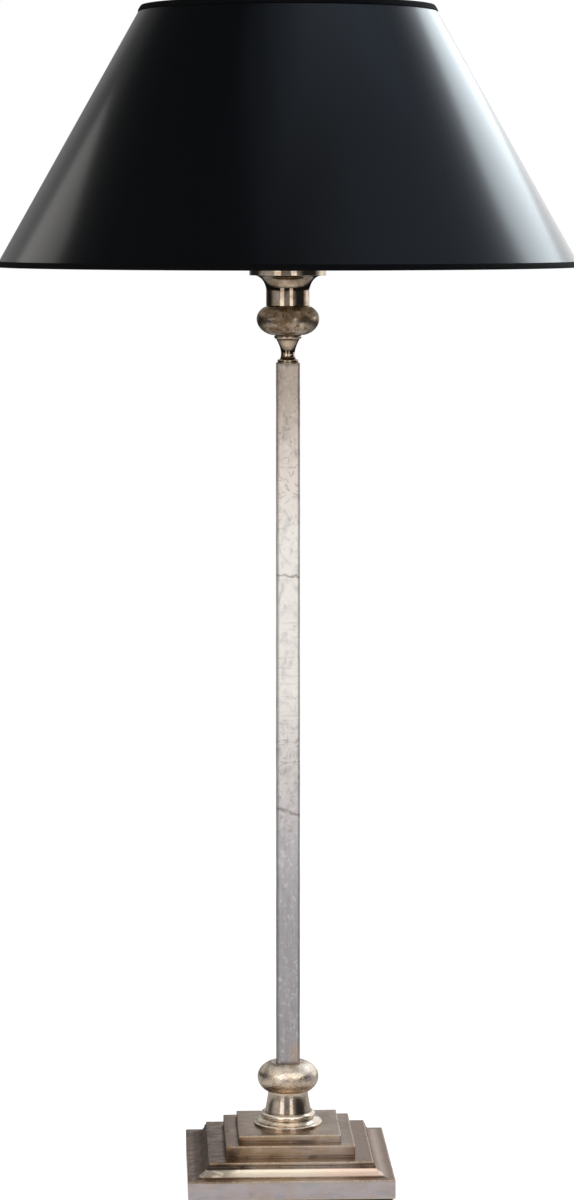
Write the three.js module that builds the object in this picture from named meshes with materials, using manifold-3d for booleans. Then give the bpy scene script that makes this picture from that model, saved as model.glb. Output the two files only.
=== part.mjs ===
// A table lamp: a square column between turned knobs, on a stepped square base, under an empire shade.
// Millimetres, +Z up, the origin on the floor under the column, the front towards -Y.
import * as THREE from "three";
import { mergeVertices } from "three/addons/utils/BufferGeometryUtils.js";
import Module from "manifold-3d";

const wasm = await Module();
wasm.setup();

// Clearances
const SEAT_GAP = 0.3;
const BORE_GAP = 0.3;
const GLUE_GAP = 0.1;
const RUN_GAP = 0.3;

// Base casting, its underside and what it holds
const FELT_THICK = 2;
const FELT_INSET = 1.5;
const FELT_CORNER = 3;
const PLINTH_SIDE = 140;
const PLINTH_HEIGHT = 13;
const PLINTH_WALL = 3;
const LIP_WIDTH = 3.5;
const COVE_DEPTH = 9.5;
const COVE_HEIGHT = 6.8;
const COVE_STEP = 1;
const LOW_TIER_HEIGHT = 2.2;
const MID_TIER_SIDE = 88;
const MID_TIER_HEIGHT = 8;
const TOP_TIER_SIDE = 70;
const TOP_TIER_HEIGHT = 5;
const TIER_EDGE = 0.8;
const ROOF_WALL = 4;
const COVER_THICK = 1.5;
const POST_RADIUS = 4.5;
const POST_INSET = 12;
const POST_DEPTH = 11.5;
const SCREW_RADIUS = 1.5;
const SCREW_HEAD_RADIUS = 3;
const SCREW_HEAD_HEIGHT = 1.5;
const SCREW_LENGTH = 9;
const BALLAST_SIDE = 100;
const BALLAST_THICK = 8;
const WASHER_RADIUS = 13;
const WASHER_THICK = 1.5;
const NUT_ACROSS_FLATS = 17;
const NUT_HEIGHT = 5;
const BUSH_HEIGHT = 8;
const BUSH_RADIUS = 3.5;
const BUSH_BORE_RADIUS = 2.8;
const BUSH_FLANGE_RADIUS = 5;
const BUSH_FLANGE_THICK = 1.5;
const BUSH_TAIL = 2;

// Hollow threaded rod and nipples
const ROD_RADIUS = 5;
const ROD_BORE_RADIUS = 3.5;
const ROD_STICK_OUT = 1;
const NECK_BORE_RADIUS = 2.8;

// Turned foot of the column
const BELL_HEIGHT = 23.5;
const BELL_FLANGE_RADIUS = 23.6;
const BELL_FLANGE_EDGE = 1.4;
const BELL_SKIRT_HEIGHT = 4.6;
const BELL_BEAD_RADIUS = 19;
const BELL_BEAD_THICK = 3.6;
const BELL_FLARE_RADIUS = 16.4;
const BELL_STEM_RADIUS = 13.7;
const BELL_STEM_STRAIGHT = 2.5;

// Flattened balls below and above the column
const LOWER_KNOB_HEIGHT = 19.5;
const LOWER_KNOB_RADIUS = 21.1;
const LOWER_KNOB_EQUATOR = 9;
const UPPER_KNOB_HEIGHT = 19.3;
const UPPER_KNOB_RADIUS = 21.5;
const UPPER_KNOB_EQUATOR = 11;
const KNOB_OVERHANG = 1.8;
const KNOB_CORE_RADIUS = 8;

// Square column
const TUBE_SIDE = 16;
const TUBE_WALL = 1.5;
const TUBE_CORNER = 0.7;
const TUBE_LENGTH = 484;
const PLUG_LENGTH = 16;

// Spool between the column and the upper knob
const NECK_HEIGHT = 19.4;
const NECK_FOOT_RADIUS = 7.9;
const NECK_FOOT_EDGE = 0.6;
const NECK_BEAD_THICK = 2;
const NECK_WAIST_HEIGHT = 6.8;
const NECK_WAIST_RADIUS = 4.8;
const NECK_COLLAR_RADIUS = 9.5;
const NECK_COLLAR_HEIGHT = 2.8;
const NECK_SPIGOT = 7;

// Candle cup
const CUP_HEIGHT = 25.4;
const CUP_STEM_RADIUS = 15;
const CUP_STEM_HEIGHT = 10.5;
const CUP_FLANGE_RADIUS = 26.5;
const CUP_FLANGE_THICK = 3.8;
const CUP_EDGE = 0.8;
const CUP_DISH_RADIUS = 23.5;
const CUP_DISH_DEPTH = 1.8;

// Screw lampholder
const CAP_HEIGHT = 15.5;
const CAP_WALL = 2;
const CAP_STEP = 1.5;
const CAP_DOME = 7;
const CAP_SPIGOT_WALL = 1.5;
const CAP_SPIGOT_HEIGHT = 6;
const INSERT_FOOT_RADIUS = 14.7;
const INSERT_LEDGE = 1.2;
const INSERT_SINK = 1;
const INSERT_FLOOR = 11;
const INSERT_HEIGHT = 35;
const INSERT_WALL = 1.8;
const SCREW_SHELL_RADIUS = 14.3;
const SCREW_SHELL_WALL = 0.6;
const SCREW_SHELL_HEIGHT = 22;
const SHELL_WALL = 2.2;
const SHELL_LIP = 1.4;
const COLLAR_RADIUS = 24;
const COLLAR_THICK = 2.5;
const COLLAR_RISE = 3;
const CONTACT_WIDTH = 8;
const CONTACT_THICK = 0.6;
const CONTACT_RISE = 3;
const CONTACT_REACH = 9;
const NIPPLE_ABOVE_FLOOR = 3;
const NIPPLE_IN_KNOB = 10.5;
const SWITCH_RADIUS = 2.5;
const SWITCH_LENGTH = 52;
const SWITCH_TRAVEL = 5;
const SWITCH_HEIGHT = 6.2;
const SWITCH_NOTCH = 0.8;
const SWITCH_NOTCH_LENGTH = 4;
const RING_HEIGHT = 7;
const RING_RADIUS = 25;
const RING_GRIPS = 20;
const RING_GRIP_DEPTH = 0.9;

// Bulb with a screw cap
const BULB_RADIUS = 30;
const BULB_LENGTH = 108;
const BULB_GLASS_WALL = 0.8;
const BULB_NECK_RADIUS = 12.2;
const BULB_CAP_RADIUS = 13.1;
const BULB_CAP_WALL = 0.5;
const BULB_CAP_HEIGHT = 21.5;
const BULB_TIP_RADIUS = 4.7;
const BULB_TIP_HEIGHT = 1.2;
const BULB_INSULATOR_RADIUS = 10.5;
const BULB_INSULATOR_HEIGHT = 3;

// Shade
const SHADE_BOTTOM_RADIUS = 200;
const SHADE_TOP_RADIUS = 100;
const SHADE_HEIGHT = 178.5;
const SHADE_THICK = 1.2;
const SHADE_ABOVE_CUP = 2;
const TRIM_WIDTH = 4;
const TRIM_THICK = 0.6;
const HOOP_RADIUS = 1.5;
const FITTER_RADIUS = 28;
const FITTER_THICK = 2;
const FITTER_CLEARANCE = 0.9;
const SPOKE_RADIUS = 1.5;
const SPOKE_COUNT = 3;
const SPOKE_ROOT = 16;

// Faces round the turned pieces
const FINE_TURN = 30;
const HIDDEN_TURN = 18;
const SMALL_TURN = 12;
const SHADE_TURN = 48;
const HOOP_FACES = 6;

// Heights from the floor up, each from the piece below it
const CASTING_BOTTOM = FELT_THICK;
const COVER_TOP = CASTING_BOTTOM + COVER_THICK;
const LIP_TOP = CASTING_BOTTOM + PLINTH_HEIGHT;
const COVE_TOP = LIP_TOP + COVE_HEIGHT;
const LOW_TIER_TOP = COVE_TOP + LOW_TIER_HEIGHT;
const MID_TIER_TOP = LOW_TIER_TOP + MID_TIER_HEIGHT;
const BASE_TOP = MID_TIER_TOP + TOP_TIER_HEIGHT;
const BELL_TOP = BASE_TOP + BELL_HEIGHT;
const TUBE_BOTTOM = BELL_TOP + LOWER_KNOB_HEIGHT;
const TUBE_TOP = TUBE_BOTTOM + TUBE_LENGTH;
const NECK_TOP = TUBE_TOP + NECK_HEIGHT;
const KNOB_TOP = NECK_TOP + UPPER_KNOB_HEIGHT;
const CUP_TOP = KNOB_TOP + CUP_HEIGHT;
const DISH_FLOOR = CUP_TOP - CUP_DISH_DEPTH;
const CAP_FLOOR = DISH_FLOOR + CAP_WALL;
const CAP_TOP = DISH_FLOOR + CAP_HEIGHT;
const INSERT_BOTTOM = CAP_TOP - INSERT_SINK;
const INSERT_SEAT = INSERT_BOTTOM + INSERT_FLOOR;
const INSERT_TOP = INSERT_BOTTOM + INSERT_HEIGHT;
const BULB_SEAT = INSERT_SEAT + CONTACT_RISE + SEAT_GAP;
const COLLAR_TOP = CAP_TOP + COLLAR_RISE + COLLAR_THICK;
const FITTER_BOTTOM = COLLAR_TOP + RUN_GAP;
const FITTER_TOP = FITTER_BOTTOM + FITTER_THICK;
const SHADE_BOTTOM = CUP_TOP + SHADE_ABOVE_CUP;
const SHADE_TOP = SHADE_BOTTOM + SHADE_HEIGHT;

// Radii that follow from a neighbour
const BORE_RADIUS = ROD_RADIUS + BORE_GAP;
const CAP_UPPER_BORE = INSERT_FOOT_RADIUS + BORE_GAP;
const CAP_SPIGOT_RADIUS = CAP_UPPER_BORE + CAP_SPIGOT_WALL;
const CAP_RADIUS = CAP_SPIGOT_RADIUS + CAP_STEP;
const INSERT_RADIUS = SCREW_SHELL_RADIUS + BORE_GAP + INSERT_WALL;
const SHELL_BORE_RADIUS = Math.max(INSERT_RADIUS, CAP_SPIGOT_RADIUS) + BORE_GAP;
const SHELL_RADIUS = SHELL_BORE_RADIUS + SHELL_WALL;

const silveredBrass = () => finish(0x8f8271, 0.32, 0.9);
const silverLeaf = () => finish(0xc3beb6, 0.45, 0.75);
const castPatina = () => finish(0x8b7b66, 0.5, 0.75);
const steel = () => finish(0x8c8f92, 0.4, 1);
const castIron = () => finish(0x3a3a3b, 0.8, 0.6);
const plainBrass = () => finish(0xb5924c, 0.35, 1);
const blackPlastic = () => finish(0x161616, 0.5, 0);
const porcelain = () => finish(0xece8df, 0.3, 0);
const felt = () => finish(0x1d2a22, 0.95, 0);
const opalGlass = () => finish(0xf4f1ea, 0.25, 0);
const blackCard = () => finish(0x14171c, 0.4, 0);
const blackTape = () => finish(0x0b0b0d, 0.8, 0);

function finish(color, roughness, metalness) {
  return new THREE.MeshStandardMaterial({ color, roughness, metalness });
}

// Part of an ellipse as profile points, its angles in degrees from the outward horizontal.
function arc(centreR, centreZ, radiusR, radiusZ, from, to, steps) {
  return Array.from({ length: steps + 1 }, (_, i) => {
    const angle = THREE.MathUtils.degToRad(from + ((to - from) * i) / steps);
    return [centreR + radiusR * Math.cos(angle), centreZ + radiusZ * Math.sin(angle)];
  });
}

// A sweep from one profile point to another, pulled towards two handles.
function sweep(start, startHandle, endHandle, end, steps) {
  const [a, b, c, d] = [start, startHandle, endHandle, end].map(([r, z]) => new THREE.Vector2(r, z));
  return new THREE.CubicBezierCurve(a, b, c, d).getPoints(steps).map(({ x, y }) => [x, y]);
}

// A closed profile of [radius, height] points, turned round the lamp's axis.
function turned(profile, segments, startAngle = 0) {
  const outline = profile.map(([r, z]) => new THREE.Vector2(r, z));
  if (THREE.ShapeUtils.area(outline) < 0) outline.reverse();
  const closed = outline.every(({ x }) => x > 0) ? [...outline, outline[0].clone()] : fromAxis(outline);
  return bare(new THREE.LatheGeometry(closed, segments, startAngle).rotateX(Math.PI / 2));
}

// The same points, started on the axis at the bottom and ended on the axis at the top.
function fromAxis(outline) {
  const onAxis = outline.map(({ x }, i) => (x === 0 ? i : -1)).filter((i) => i >= 0);
  const lowest = onAxis.reduce((best, i) => (outline[i].y < outline[best].y ? i : best));
  return [...outline.slice(lowest), ...outline.slice(0, lowest)];
}

// A square turning: its radii are half the side of the square at each height.
function squareTurned(profile) {
  return turned(profile.map(([half, z]) => [half * Math.SQRT2, z]), 4, Math.PI / 4);
}

// The positions alone, with shared vertices merged and slivers at the axis left out.
function bare(geometry) {
  const loose = geometry.index ? geometry.toNonIndexed() : geometry;
  loose.deleteAttribute("normal");
  loose.deleteAttribute("uv");
  const merged = mergeVertices(loose);
  const corners = merged.index.array;
  const kept = [];
  for (let i = 0; i < corners.length; i += 3) {
    const [a, b, c] = corners.slice(i, i + 3);
    if (a !== b && b !== c && c !== a) kept.push(a, b, c);
  }
  merged.setIndex(kept);
  return merged;
}

function solid(geometry) {
  const { attributes, index } = bare(geometry);
  return new wasm.Manifold(
    new wasm.Mesh({
      numProp: 3,
      vertProperties: attributes.position.array,
      triVerts: new Uint32Array(index.array),
    }),
  );
}

function geometryOf(manifold) {
  const { vertProperties, triVerts } = manifold.getMesh();
  const geometry = new THREE.BufferGeometry();
  geometry.setAttribute("position", new THREE.BufferAttribute(vertProperties, 3));
  geometry.setIndex(new THREE.BufferAttribute(triVerts, 1));
  return geometry;
}

// The first shape less all the others.
function cut(geometry, ...tools) {
  return geometryOf(tools.reduce((rest, tool) => rest.subtract(solid(tool)), solid(geometry)));
}

function join(...geometries) {
  return geometryOf(geometries.map(solid).reduce((sum, next) => sum.add(next)));
}

// An upright cylinder between two heights.
function post(radius, bottom, top, segments = HIDDEN_TURN) {
  return turned([[0, bottom], [radius, bottom], [radius, top], [0, top]], segments);
}

// An upright tube between two heights.
function sleeve(boreRadius, radius, bottom, top, segments = HIDDEN_TURN) {
  return turned([[boreRadius, bottom], [radius, bottom], [radius, top], [boreRadius, top]], segments);
}

// A square with rounded corners, as a shape in the floor plane.
function roundedSquare(half, corner) {
  const flat = half - corner;
  const shape = new THREE.Shape();
  shape.absarc(flat, -flat, corner, -Math.PI / 2, 0);
  shape.absarc(flat, flat, corner, 0, Math.PI / 2);
  shape.absarc(-flat, flat, corner, Math.PI / 2, Math.PI);
  shape.absarc(-flat, -flat, corner, Math.PI, 1.5 * Math.PI);
  return shape;
}

function extruded(shape, bottom, top, curveSegments = 3) {
  const options = { depth: top - bottom, bevelEnabled: false, curveSegments };
  return new THREE.ExtrudeGeometry(shape, options).translate(0, 0, bottom);
}

// A round bar along a curve, ending square to it.
function barAlong(curve, radius, steps, sides = 8) {
  const section = new THREE.Shape();
  section.absarc(0, 0, radius, 0, 2 * Math.PI);
  const options = { extrudePath: curve, steps, bevelEnabled: false, curveSegments: sides };
  return new THREE.ExtrudeGeometry(section, options);
}

function piece(name, geometry, material) {
  const mesh = new THREE.Mesh(geometry, material);
  mesh.name = name;
  return mesh;
}

// Base: a hollow stepped casting with a cove, closed by a steel plate under a felt pad
const plinthHalf = PLINTH_SIDE / 2;
const coveOuterHalf = plinthHalf - LIP_WIDTH;
const coveInnerHalf = coveOuterHalf - COVE_DEPTH;
const lowTierHalf = coveInnerHalf - COVE_STEP;
const midTierHalf = MID_TIER_SIDE / 2;
const topTierHalf = TOP_TIER_SIDE / 2;
const cavityHalf = plinthHalf - PLINTH_WALL;
const cavityRoof = LIP_TOP - PLINTH_WALL;
const lowRoof = LOW_TIER_TOP - ROOF_WALL;
const midRoof = MID_TIER_TOP - ROOF_WALL;
const topRoof = BASE_TOP - ROOF_WALL;
const postPlace = plinthHalf - POST_INSET;

// The edge of a tier: up its side, over a small chamfer and in to the next tier.
function tier(half, top) {
  return [[half, top - TIER_EDGE], [half - TIER_EDGE, top]];
}

function castingOutline() {
  return [
    [0, CASTING_BOTTOM],
    [plinthHalf, CASTING_BOTTOM],
    ...tier(plinthHalf, LIP_TOP),
    ...arc(coveOuterHalf, COVE_TOP, COVE_DEPTH, COVE_HEIGHT, 270, 180, 8),
    [lowTierHalf, COVE_TOP],
    ...tier(lowTierHalf, LOW_TIER_TOP),
    [midTierHalf, LOW_TIER_TOP],
    ...tier(midTierHalf, MID_TIER_TOP),
    [topTierHalf, MID_TIER_TOP],
    ...tier(topTierHalf, BASE_TOP),
    [0, BASE_TOP],
  ];
}

// The hollow keeps the wall's thickness behind the cove and under each tier.
function castingHollow() {
  return [
    [0, CASTING_BOTTOM - ROOF_WALL],
    [cavityHalf, CASTING_BOTTOM - ROOF_WALL],
    [cavityHalf, cavityRoof],
    [coveOuterHalf - ROOF_WALL, cavityRoof],
    [lowTierHalf - ROOF_WALL, COVE_TOP - ROOF_WALL],
    [lowTierHalf - ROOF_WALL, lowRoof],
    [midTierHalf - ROOF_WALL, lowRoof],
    [midTierHalf - ROOF_WALL, midRoof],
    [topTierHalf - ROOF_WALL, midRoof],
    [topTierHalf - ROOF_WALL, topRoof],
    [0, topRoof],
  ];
}

// The four corners where a cover screw goes up into its post.
function corners() {
  const sides = [1, -1];
  return sides.flatMap((x) => sides.map((y) => [x * postPlace, y * postPlace]));
}

// A turning laid on its side, its foot at the back wall of the plinth and its top outside.
function throughBackWall(geometry) {
  return geometry.rotateX(-Math.PI / 2).translate(0, plinthHalf, BUSH_HEIGHT);
}

function baseCasting() {
  const postTop = COVER_TOP + POST_DEPTH;
  const posts = corners().map(([x, y]) => post(POST_RADIUS, COVER_TOP, postTop, SMALL_TURN).translate(x, y, 0));
  const screwDepth = COVER_TOP + SCREW_LENGTH;
  const holes = corners().map(([x, y]) =>
    post(SCREW_RADIUS + BORE_GAP, CASTING_BOTTOM, screwDepth, SMALL_TURN).translate(x, y, 0),
  );
  const hollow = squareTurned(castingHollow());
  const shell = cut(squareTurned(castingOutline()), hollow);
  const inletHole = throughBackWall(post(BUSH_RADIUS + BORE_GAP, -PLINTH_WALL - BUSH_TAIL, 1));
  const rodHole = post(BORE_RADIUS, topRoof - 1, BASE_TOP + 1);
  return cut(join(shell, ...posts), ...holes, inletHole, rodHole);
}

function baseCover() {
  const half = cavityHalf - SEAT_GAP;
  const sinks = corners().map(([x, y]) => {
    const headRadius = SCREW_HEAD_RADIUS + BORE_GAP;
    const shankRadius = SCREW_RADIUS + BORE_GAP;
    const sink = [[0, CASTING_BOTTOM], [headRadius, CASTING_BOTTOM], [shankRadius, COVER_TOP], [0, COVER_TOP]];
    return turned(sink, SMALL_TURN).translate(x, y, 0);
  });
  return cut(extruded(roundedSquare(half, FELT_CORNER), CASTING_BOTTOM, COVER_TOP), ...sinks);
}

// A countersunk screw, its head level with the underside of the cover.
function coverScrew() {
  const outline = [
    [0, CASTING_BOTTOM],
    [SCREW_HEAD_RADIUS, CASTING_BOTTOM],
    [SCREW_RADIUS, CASTING_BOTTOM + SCREW_HEAD_HEIGHT],
    [SCREW_RADIUS, CASTING_BOTTOM + SCREW_LENGTH - SCREW_RADIUS],
    [0, CASTING_BOTTOM + SCREW_LENGTH],
  ];
  return turned(outline, SMALL_TURN);
}

const ballastTop = lowRoof;
const ballastBottom = ballastTop - BALLAST_THICK;
const washerBottom = ballastBottom - WASHER_THICK;
const nutBottom = washerBottom - NUT_HEIGHT;

function ballastPlate() {
  const plate = extruded(roundedSquare(BALLAST_SIDE / 2, FELT_CORNER), ballastBottom, ballastTop);
  return cut(plate, post(BORE_RADIUS, ballastBottom - 1, ballastTop + 1));
}

function baseNut() {
  const cornerRadius = NUT_ACROSS_FLATS / Math.sqrt(3);
  return cut(post(cornerRadius, nutBottom, washerBottom, 6), post(BORE_RADIUS, nutBottom - 1, washerBottom + 1));
}

// The inlet bush: a sleeve through the wall, a rounded flange outside and a snap ring inside.
function cordBush() {
  const tail = -PLINTH_WALL - BUSH_TAIL;
  const outline = [
    [BUSH_BORE_RADIUS, tail],
    [BUSH_RADIUS, tail],
    [BUSH_RADIUS, 0],
    [BUSH_FLANGE_RADIUS, 0],
    [BUSH_FLANGE_RADIUS, BUSH_FLANGE_THICK / 2],
    [BUSH_RADIUS, BUSH_FLANGE_THICK],
    [BUSH_BORE_RADIUS, BUSH_FLANGE_THICK],
  ];
  return throughBackWall(turned(outline, HIDDEN_TURN));
}

const base = new THREE.Group();
const feltHalf = plinthHalf - FELT_INSET;
base.add(
  piece("felt_pad", extruded(roundedSquare(feltHalf, FELT_CORNER), 0, FELT_THICK), felt()),
  piece("base_cover", baseCover(), steel()),
  piece("ballast_plate", ballastPlate(), castIron()),
  piece("base_casting", baseCasting(), castPatina()),
  piece("cord_bush", cordBush(), blackPlastic()),
  piece("base_washer", sleeve(BORE_RADIUS, WASHER_RADIUS, washerBottom, ballastBottom), steel()),
  piece("base_nut", baseNut(), steel()),
);
corners().forEach(([x, y], i) => {
  const screw = piece(`cover_screw_${i + 1}`, coverScrew(), steel());
  screw.position.set(x, y, 0);
  base.add(screw);
});

// Column: a turned foot and knob, a square tube between plugs, a spool, a knob and a cup on a hollow rod
function lowerBell() {
  const beadHalf = BELL_BEAD_THICK / 2;
  const beadBottom = BASE_TOP + BELL_SKIRT_HEIGHT;
  const beadRoot = BELL_BEAD_RADIUS - beadHalf;
  const beadTop = beadBottom + BELL_BEAD_THICK;
  const flareTop = BELL_TOP - BELL_STEM_STRAIGHT;
  const flareRise = flareTop - beadTop;
  const flare = sweep(
    [BELL_FLARE_RADIUS, beadTop],
    [BELL_FLARE_RADIUS - (BELL_FLARE_RADIUS - BELL_STEM_RADIUS) / 2, beadTop + flareRise / 4],
    [BELL_STEM_RADIUS, flareTop - flareRise / 2],
    [BELL_STEM_RADIUS, flareTop],
    6,
  );
  return turned([
    [BORE_RADIUS, BASE_TOP],
    [BELL_FLANGE_RADIUS, BASE_TOP],
    [BELL_FLANGE_RADIUS, BASE_TOP + BELL_FLANGE_EDGE],
    ...sweep(
      [BELL_FLANGE_RADIUS - BELL_FLANGE_EDGE / 2, BASE_TOP + BELL_FLANGE_EDGE * 1.5],
      [beadRoot + BELL_BEAD_THICK, BASE_TOP + BELL_SKIRT_HEIGHT / 2],
      [beadRoot + beadHalf, beadBottom - BELL_FLANGE_EDGE / 2],
      [beadRoot, beadBottom],
      3,
    ),
    ...arc(beadRoot, beadBottom + beadHalf, beadHalf, beadHalf, -60, 90, 5),
    ...flare,
    [BELL_STEM_RADIUS, BELL_TOP],
    [BORE_RADIUS, BELL_TOP],
  ], FINE_TURN);
}

// A flattened ball: two quarter ellipses that meet at its widest height and end at the radii of its flats.
function knob(bottom, top, radius, equator, bottomRadius, topRadius) {
  const reach = radius - KNOB_CORE_RADIUS;
  const half = (rise, endRadius) => {
    const endShare = (endRadius - KNOB_CORE_RADIUS) / reach;
    const tall = rise / Math.sqrt(1 - endShare ** 2);
    return { tall, angle: THREE.MathUtils.radToDeg(Math.acos(endShare)) };
  };
  const lower = half(equator - bottom, bottomRadius);
  const upper = half(top - equator, topRadius);
  return turned([
    [BORE_RADIUS, bottom],
    ...arc(KNOB_CORE_RADIUS, equator, reach, lower.tall, -lower.angle, 0, 6),
    ...arc(KNOB_CORE_RADIUS, equator, reach, upper.tall, 0, upper.angle, 6).slice(1),
    [BORE_RADIUS, top],
  ], FINE_TURN);
}

function squareTube() {
  const wall = roundedSquare(TUBE_SIDE / 2, TUBE_CORNER);
  wall.holes.push(roundedSquare(TUBE_SIDE / 2 - TUBE_WALL, TUBE_CORNER / 2));
  return extruded(wall, TUBE_BOTTOM, TUBE_TOP, 2);
}

function tubePlug(bottom) {
  const half = TUBE_SIDE / 2 - TUBE_WALL - SEAT_GAP;
  const block = extruded(roundedSquare(half, TUBE_CORNER / 2), bottom, bottom + PLUG_LENGTH, 2);
  return cut(block, post(BORE_RADIUS, bottom - 1, bottom + PLUG_LENGTH + 1));
}

// The spool: a threaded spigot at each end, a bead at the foot, a narrow waist and a round collar.
function upperNeck() {
  const beadHalf = NECK_BEAD_THICK / 2;
  const beadBottom = TUBE_TOP + NECK_FOOT_EDGE;
  const beadRoot = NECK_FOOT_RADIUS - NECK_FOOT_EDGE - beadHalf;
  const beadTop = beadBottom + NECK_BEAD_THICK;
  const waist = TUBE_TOP + NECK_WAIST_HEIGHT;
  const collarHalf = NECK_COLLAR_HEIGHT / 2;
  const collarRoot = NECK_COLLAR_RADIUS - collarHalf;
  const collarBottom = NECK_TOP - NECK_COLLAR_HEIGHT;
  const flareRise = collarBottom - waist;
  return turned([
    [NECK_BORE_RADIUS, TUBE_TOP - NECK_SPIGOT],
    [ROD_RADIUS, TUBE_TOP - NECK_SPIGOT],
    [ROD_RADIUS, TUBE_TOP],
    [NECK_FOOT_RADIUS, TUBE_TOP],
    [NECK_FOOT_RADIUS, beadBottom],
    ...arc(beadRoot, beadBottom + beadHalf, beadHalf, beadHalf, -60, 60, 3),
    ...sweep(
      [beadRoot, beadTop],
      [NECK_WAIST_RADIUS, beadTop],
      [NECK_WAIST_RADIUS, waist - beadHalf],
      [NECK_WAIST_RADIUS, waist],
      3,
    ),
    ...sweep(
      [NECK_WAIST_RADIUS, waist],
      [NECK_WAIST_RADIUS, waist + flareRise / 3],
      [(NECK_WAIST_RADIUS + collarRoot) / 2, waist + (2 * flareRise) / 3],
      [collarRoot, collarBottom],
      5,
    ).slice(1),
    ...arc(collarRoot, NECK_TOP - collarHalf, collarHalf, collarHalf, -60, 90, 4),
    [ROD_RADIUS, NECK_TOP],
    [ROD_RADIUS, NECK_TOP + NECK_SPIGOT],
    [NECK_BORE_RADIUS, NECK_TOP + NECK_SPIGOT],
  ], FINE_TURN);
}

function candleCup() {
  const stemTop = KNOB_TOP + CUP_STEM_HEIGHT;
  const flangeBottom = CUP_TOP - CUP_FLANGE_THICK;
  const flareRise = flangeBottom - stemTop;
  return turned([
    [BORE_RADIUS, KNOB_TOP],
    [CUP_STEM_RADIUS - CUP_EDGE, KNOB_TOP],
    [CUP_STEM_RADIUS, KNOB_TOP + CUP_EDGE],
    ...sweep(
      [CUP_STEM_RADIUS, stemTop],
      [CUP_STEM_RADIUS, stemTop + flareRise / 2],
      [CUP_STEM_RADIUS + CUP_EDGE * 4, flangeBottom],
      [CUP_FLANGE_RADIUS - CUP_EDGE * 2.5, flangeBottom],
      7,
    ),
    [CUP_FLANGE_RADIUS - CUP_EDGE, flangeBottom],
    [CUP_FLANGE_RADIUS, flangeBottom + CUP_EDGE],
    [CUP_FLANGE_RADIUS, CUP_TOP - CUP_EDGE],
    [CUP_FLANGE_RADIUS - CUP_EDGE, CUP_TOP],
    [CUP_DISH_RADIUS, CUP_TOP],
    [CUP_DISH_RADIUS - CUP_DISH_DEPTH, DISH_FLOOR],
    [BORE_RADIUS, DISH_FLOOR],
  ], FINE_TURN);
}

const rodBottom = nutBottom - ROD_STICK_OUT;
const rodTop = TUBE_TOP - NECK_SPIGOT - ROD_STICK_OUT;
const nippleBottom = KNOB_TOP - NIPPLE_IN_KNOB;
const nippleTop = CAP_FLOOR + NIPPLE_ABOVE_FLOOR;
const lowerKnob = knob(
  BELL_TOP,
  TUBE_BOTTOM,
  LOWER_KNOB_RADIUS,
  BELL_TOP + LOWER_KNOB_EQUATOR,
  BELL_STEM_RADIUS + KNOB_OVERHANG,
  TUBE_SIDE * Math.SQRT1_2 + SEAT_GAP,
);
const upperKnob = knob(
  NECK_TOP,
  KNOB_TOP,
  UPPER_KNOB_RADIUS,
  NECK_TOP + UPPER_KNOB_EQUATOR,
  NECK_COLLAR_RADIUS + KNOB_OVERHANG,
  CUP_STEM_RADIUS + KNOB_OVERHANG / 2,
);

const column = new THREE.Group();
column.add(
  piece("tie_rod", sleeve(ROD_BORE_RADIUS, ROD_RADIUS, rodBottom, rodTop), steel()),
  piece("lower_bell", lowerBell(), silveredBrass()),
  piece("lower_knob", lowerKnob, silveredBrass()),
  piece("square_tube", squareTube(), silverLeaf()),
  piece("tube_plug_lower", tubePlug(TUBE_BOTTOM), steel()),
  piece("tube_plug_upper", tubePlug(TUBE_TOP - PLUG_LENGTH), steel()),
  piece("upper_neck", upperNeck(), silveredBrass()),
  piece("upper_knob", upperKnob, silveredBrass()),
  piece("candle_cup", candleCup(), silveredBrass()),
  piece("top_nipple", sleeve(ROD_BORE_RADIUS, ROD_RADIUS, nippleBottom, nippleTop), steel()),
);

// Lampholder: a domed cap with a push-through switch, a porcelain insert, and a shell that carries the shade
function acrossLamp(geometry) {
  return geometry.rotateY(Math.PI / 2).translate(0, 0, CAP_FLOOR + SWITCH_HEIGHT);
}

function holderCap() {
  const cavityRadius = INSERT_FOOT_RADIUS - INSERT_LEDGE;
  const spigotTop = CAP_TOP + CAP_SPIGOT_HEIGHT;
  const cup = turned([
    [BORE_RADIUS, DISH_FLOOR],
    ...arc(CAP_RADIUS - CAP_DOME, DISH_FLOOR + CAP_DOME, CAP_DOME, CAP_DOME, -90, 0, 4),
    [CAP_RADIUS, CAP_TOP],
    [CAP_SPIGOT_RADIUS, CAP_TOP],
    [CAP_SPIGOT_RADIUS, spigotTop],
    [CAP_UPPER_BORE, spigotTop],
    [CAP_UPPER_BORE, INSERT_BOTTOM],
    [cavityRadius, INSERT_BOTTOM],
    [cavityRadius, CAP_FLOOR + CAP_DOME - CAP_WALL],
    [cavityRadius - CAP_DOME + CAP_WALL, CAP_FLOOR],
    [BORE_RADIUS, CAP_FLOOR],
  ], HIDDEN_TURN);
  return cut(cup, acrossLamp(post(SWITCH_RADIUS + BORE_GAP, -CAP_RADIUS - 1, CAP_RADIUS + 1, SMALL_TURN)));
}

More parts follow.
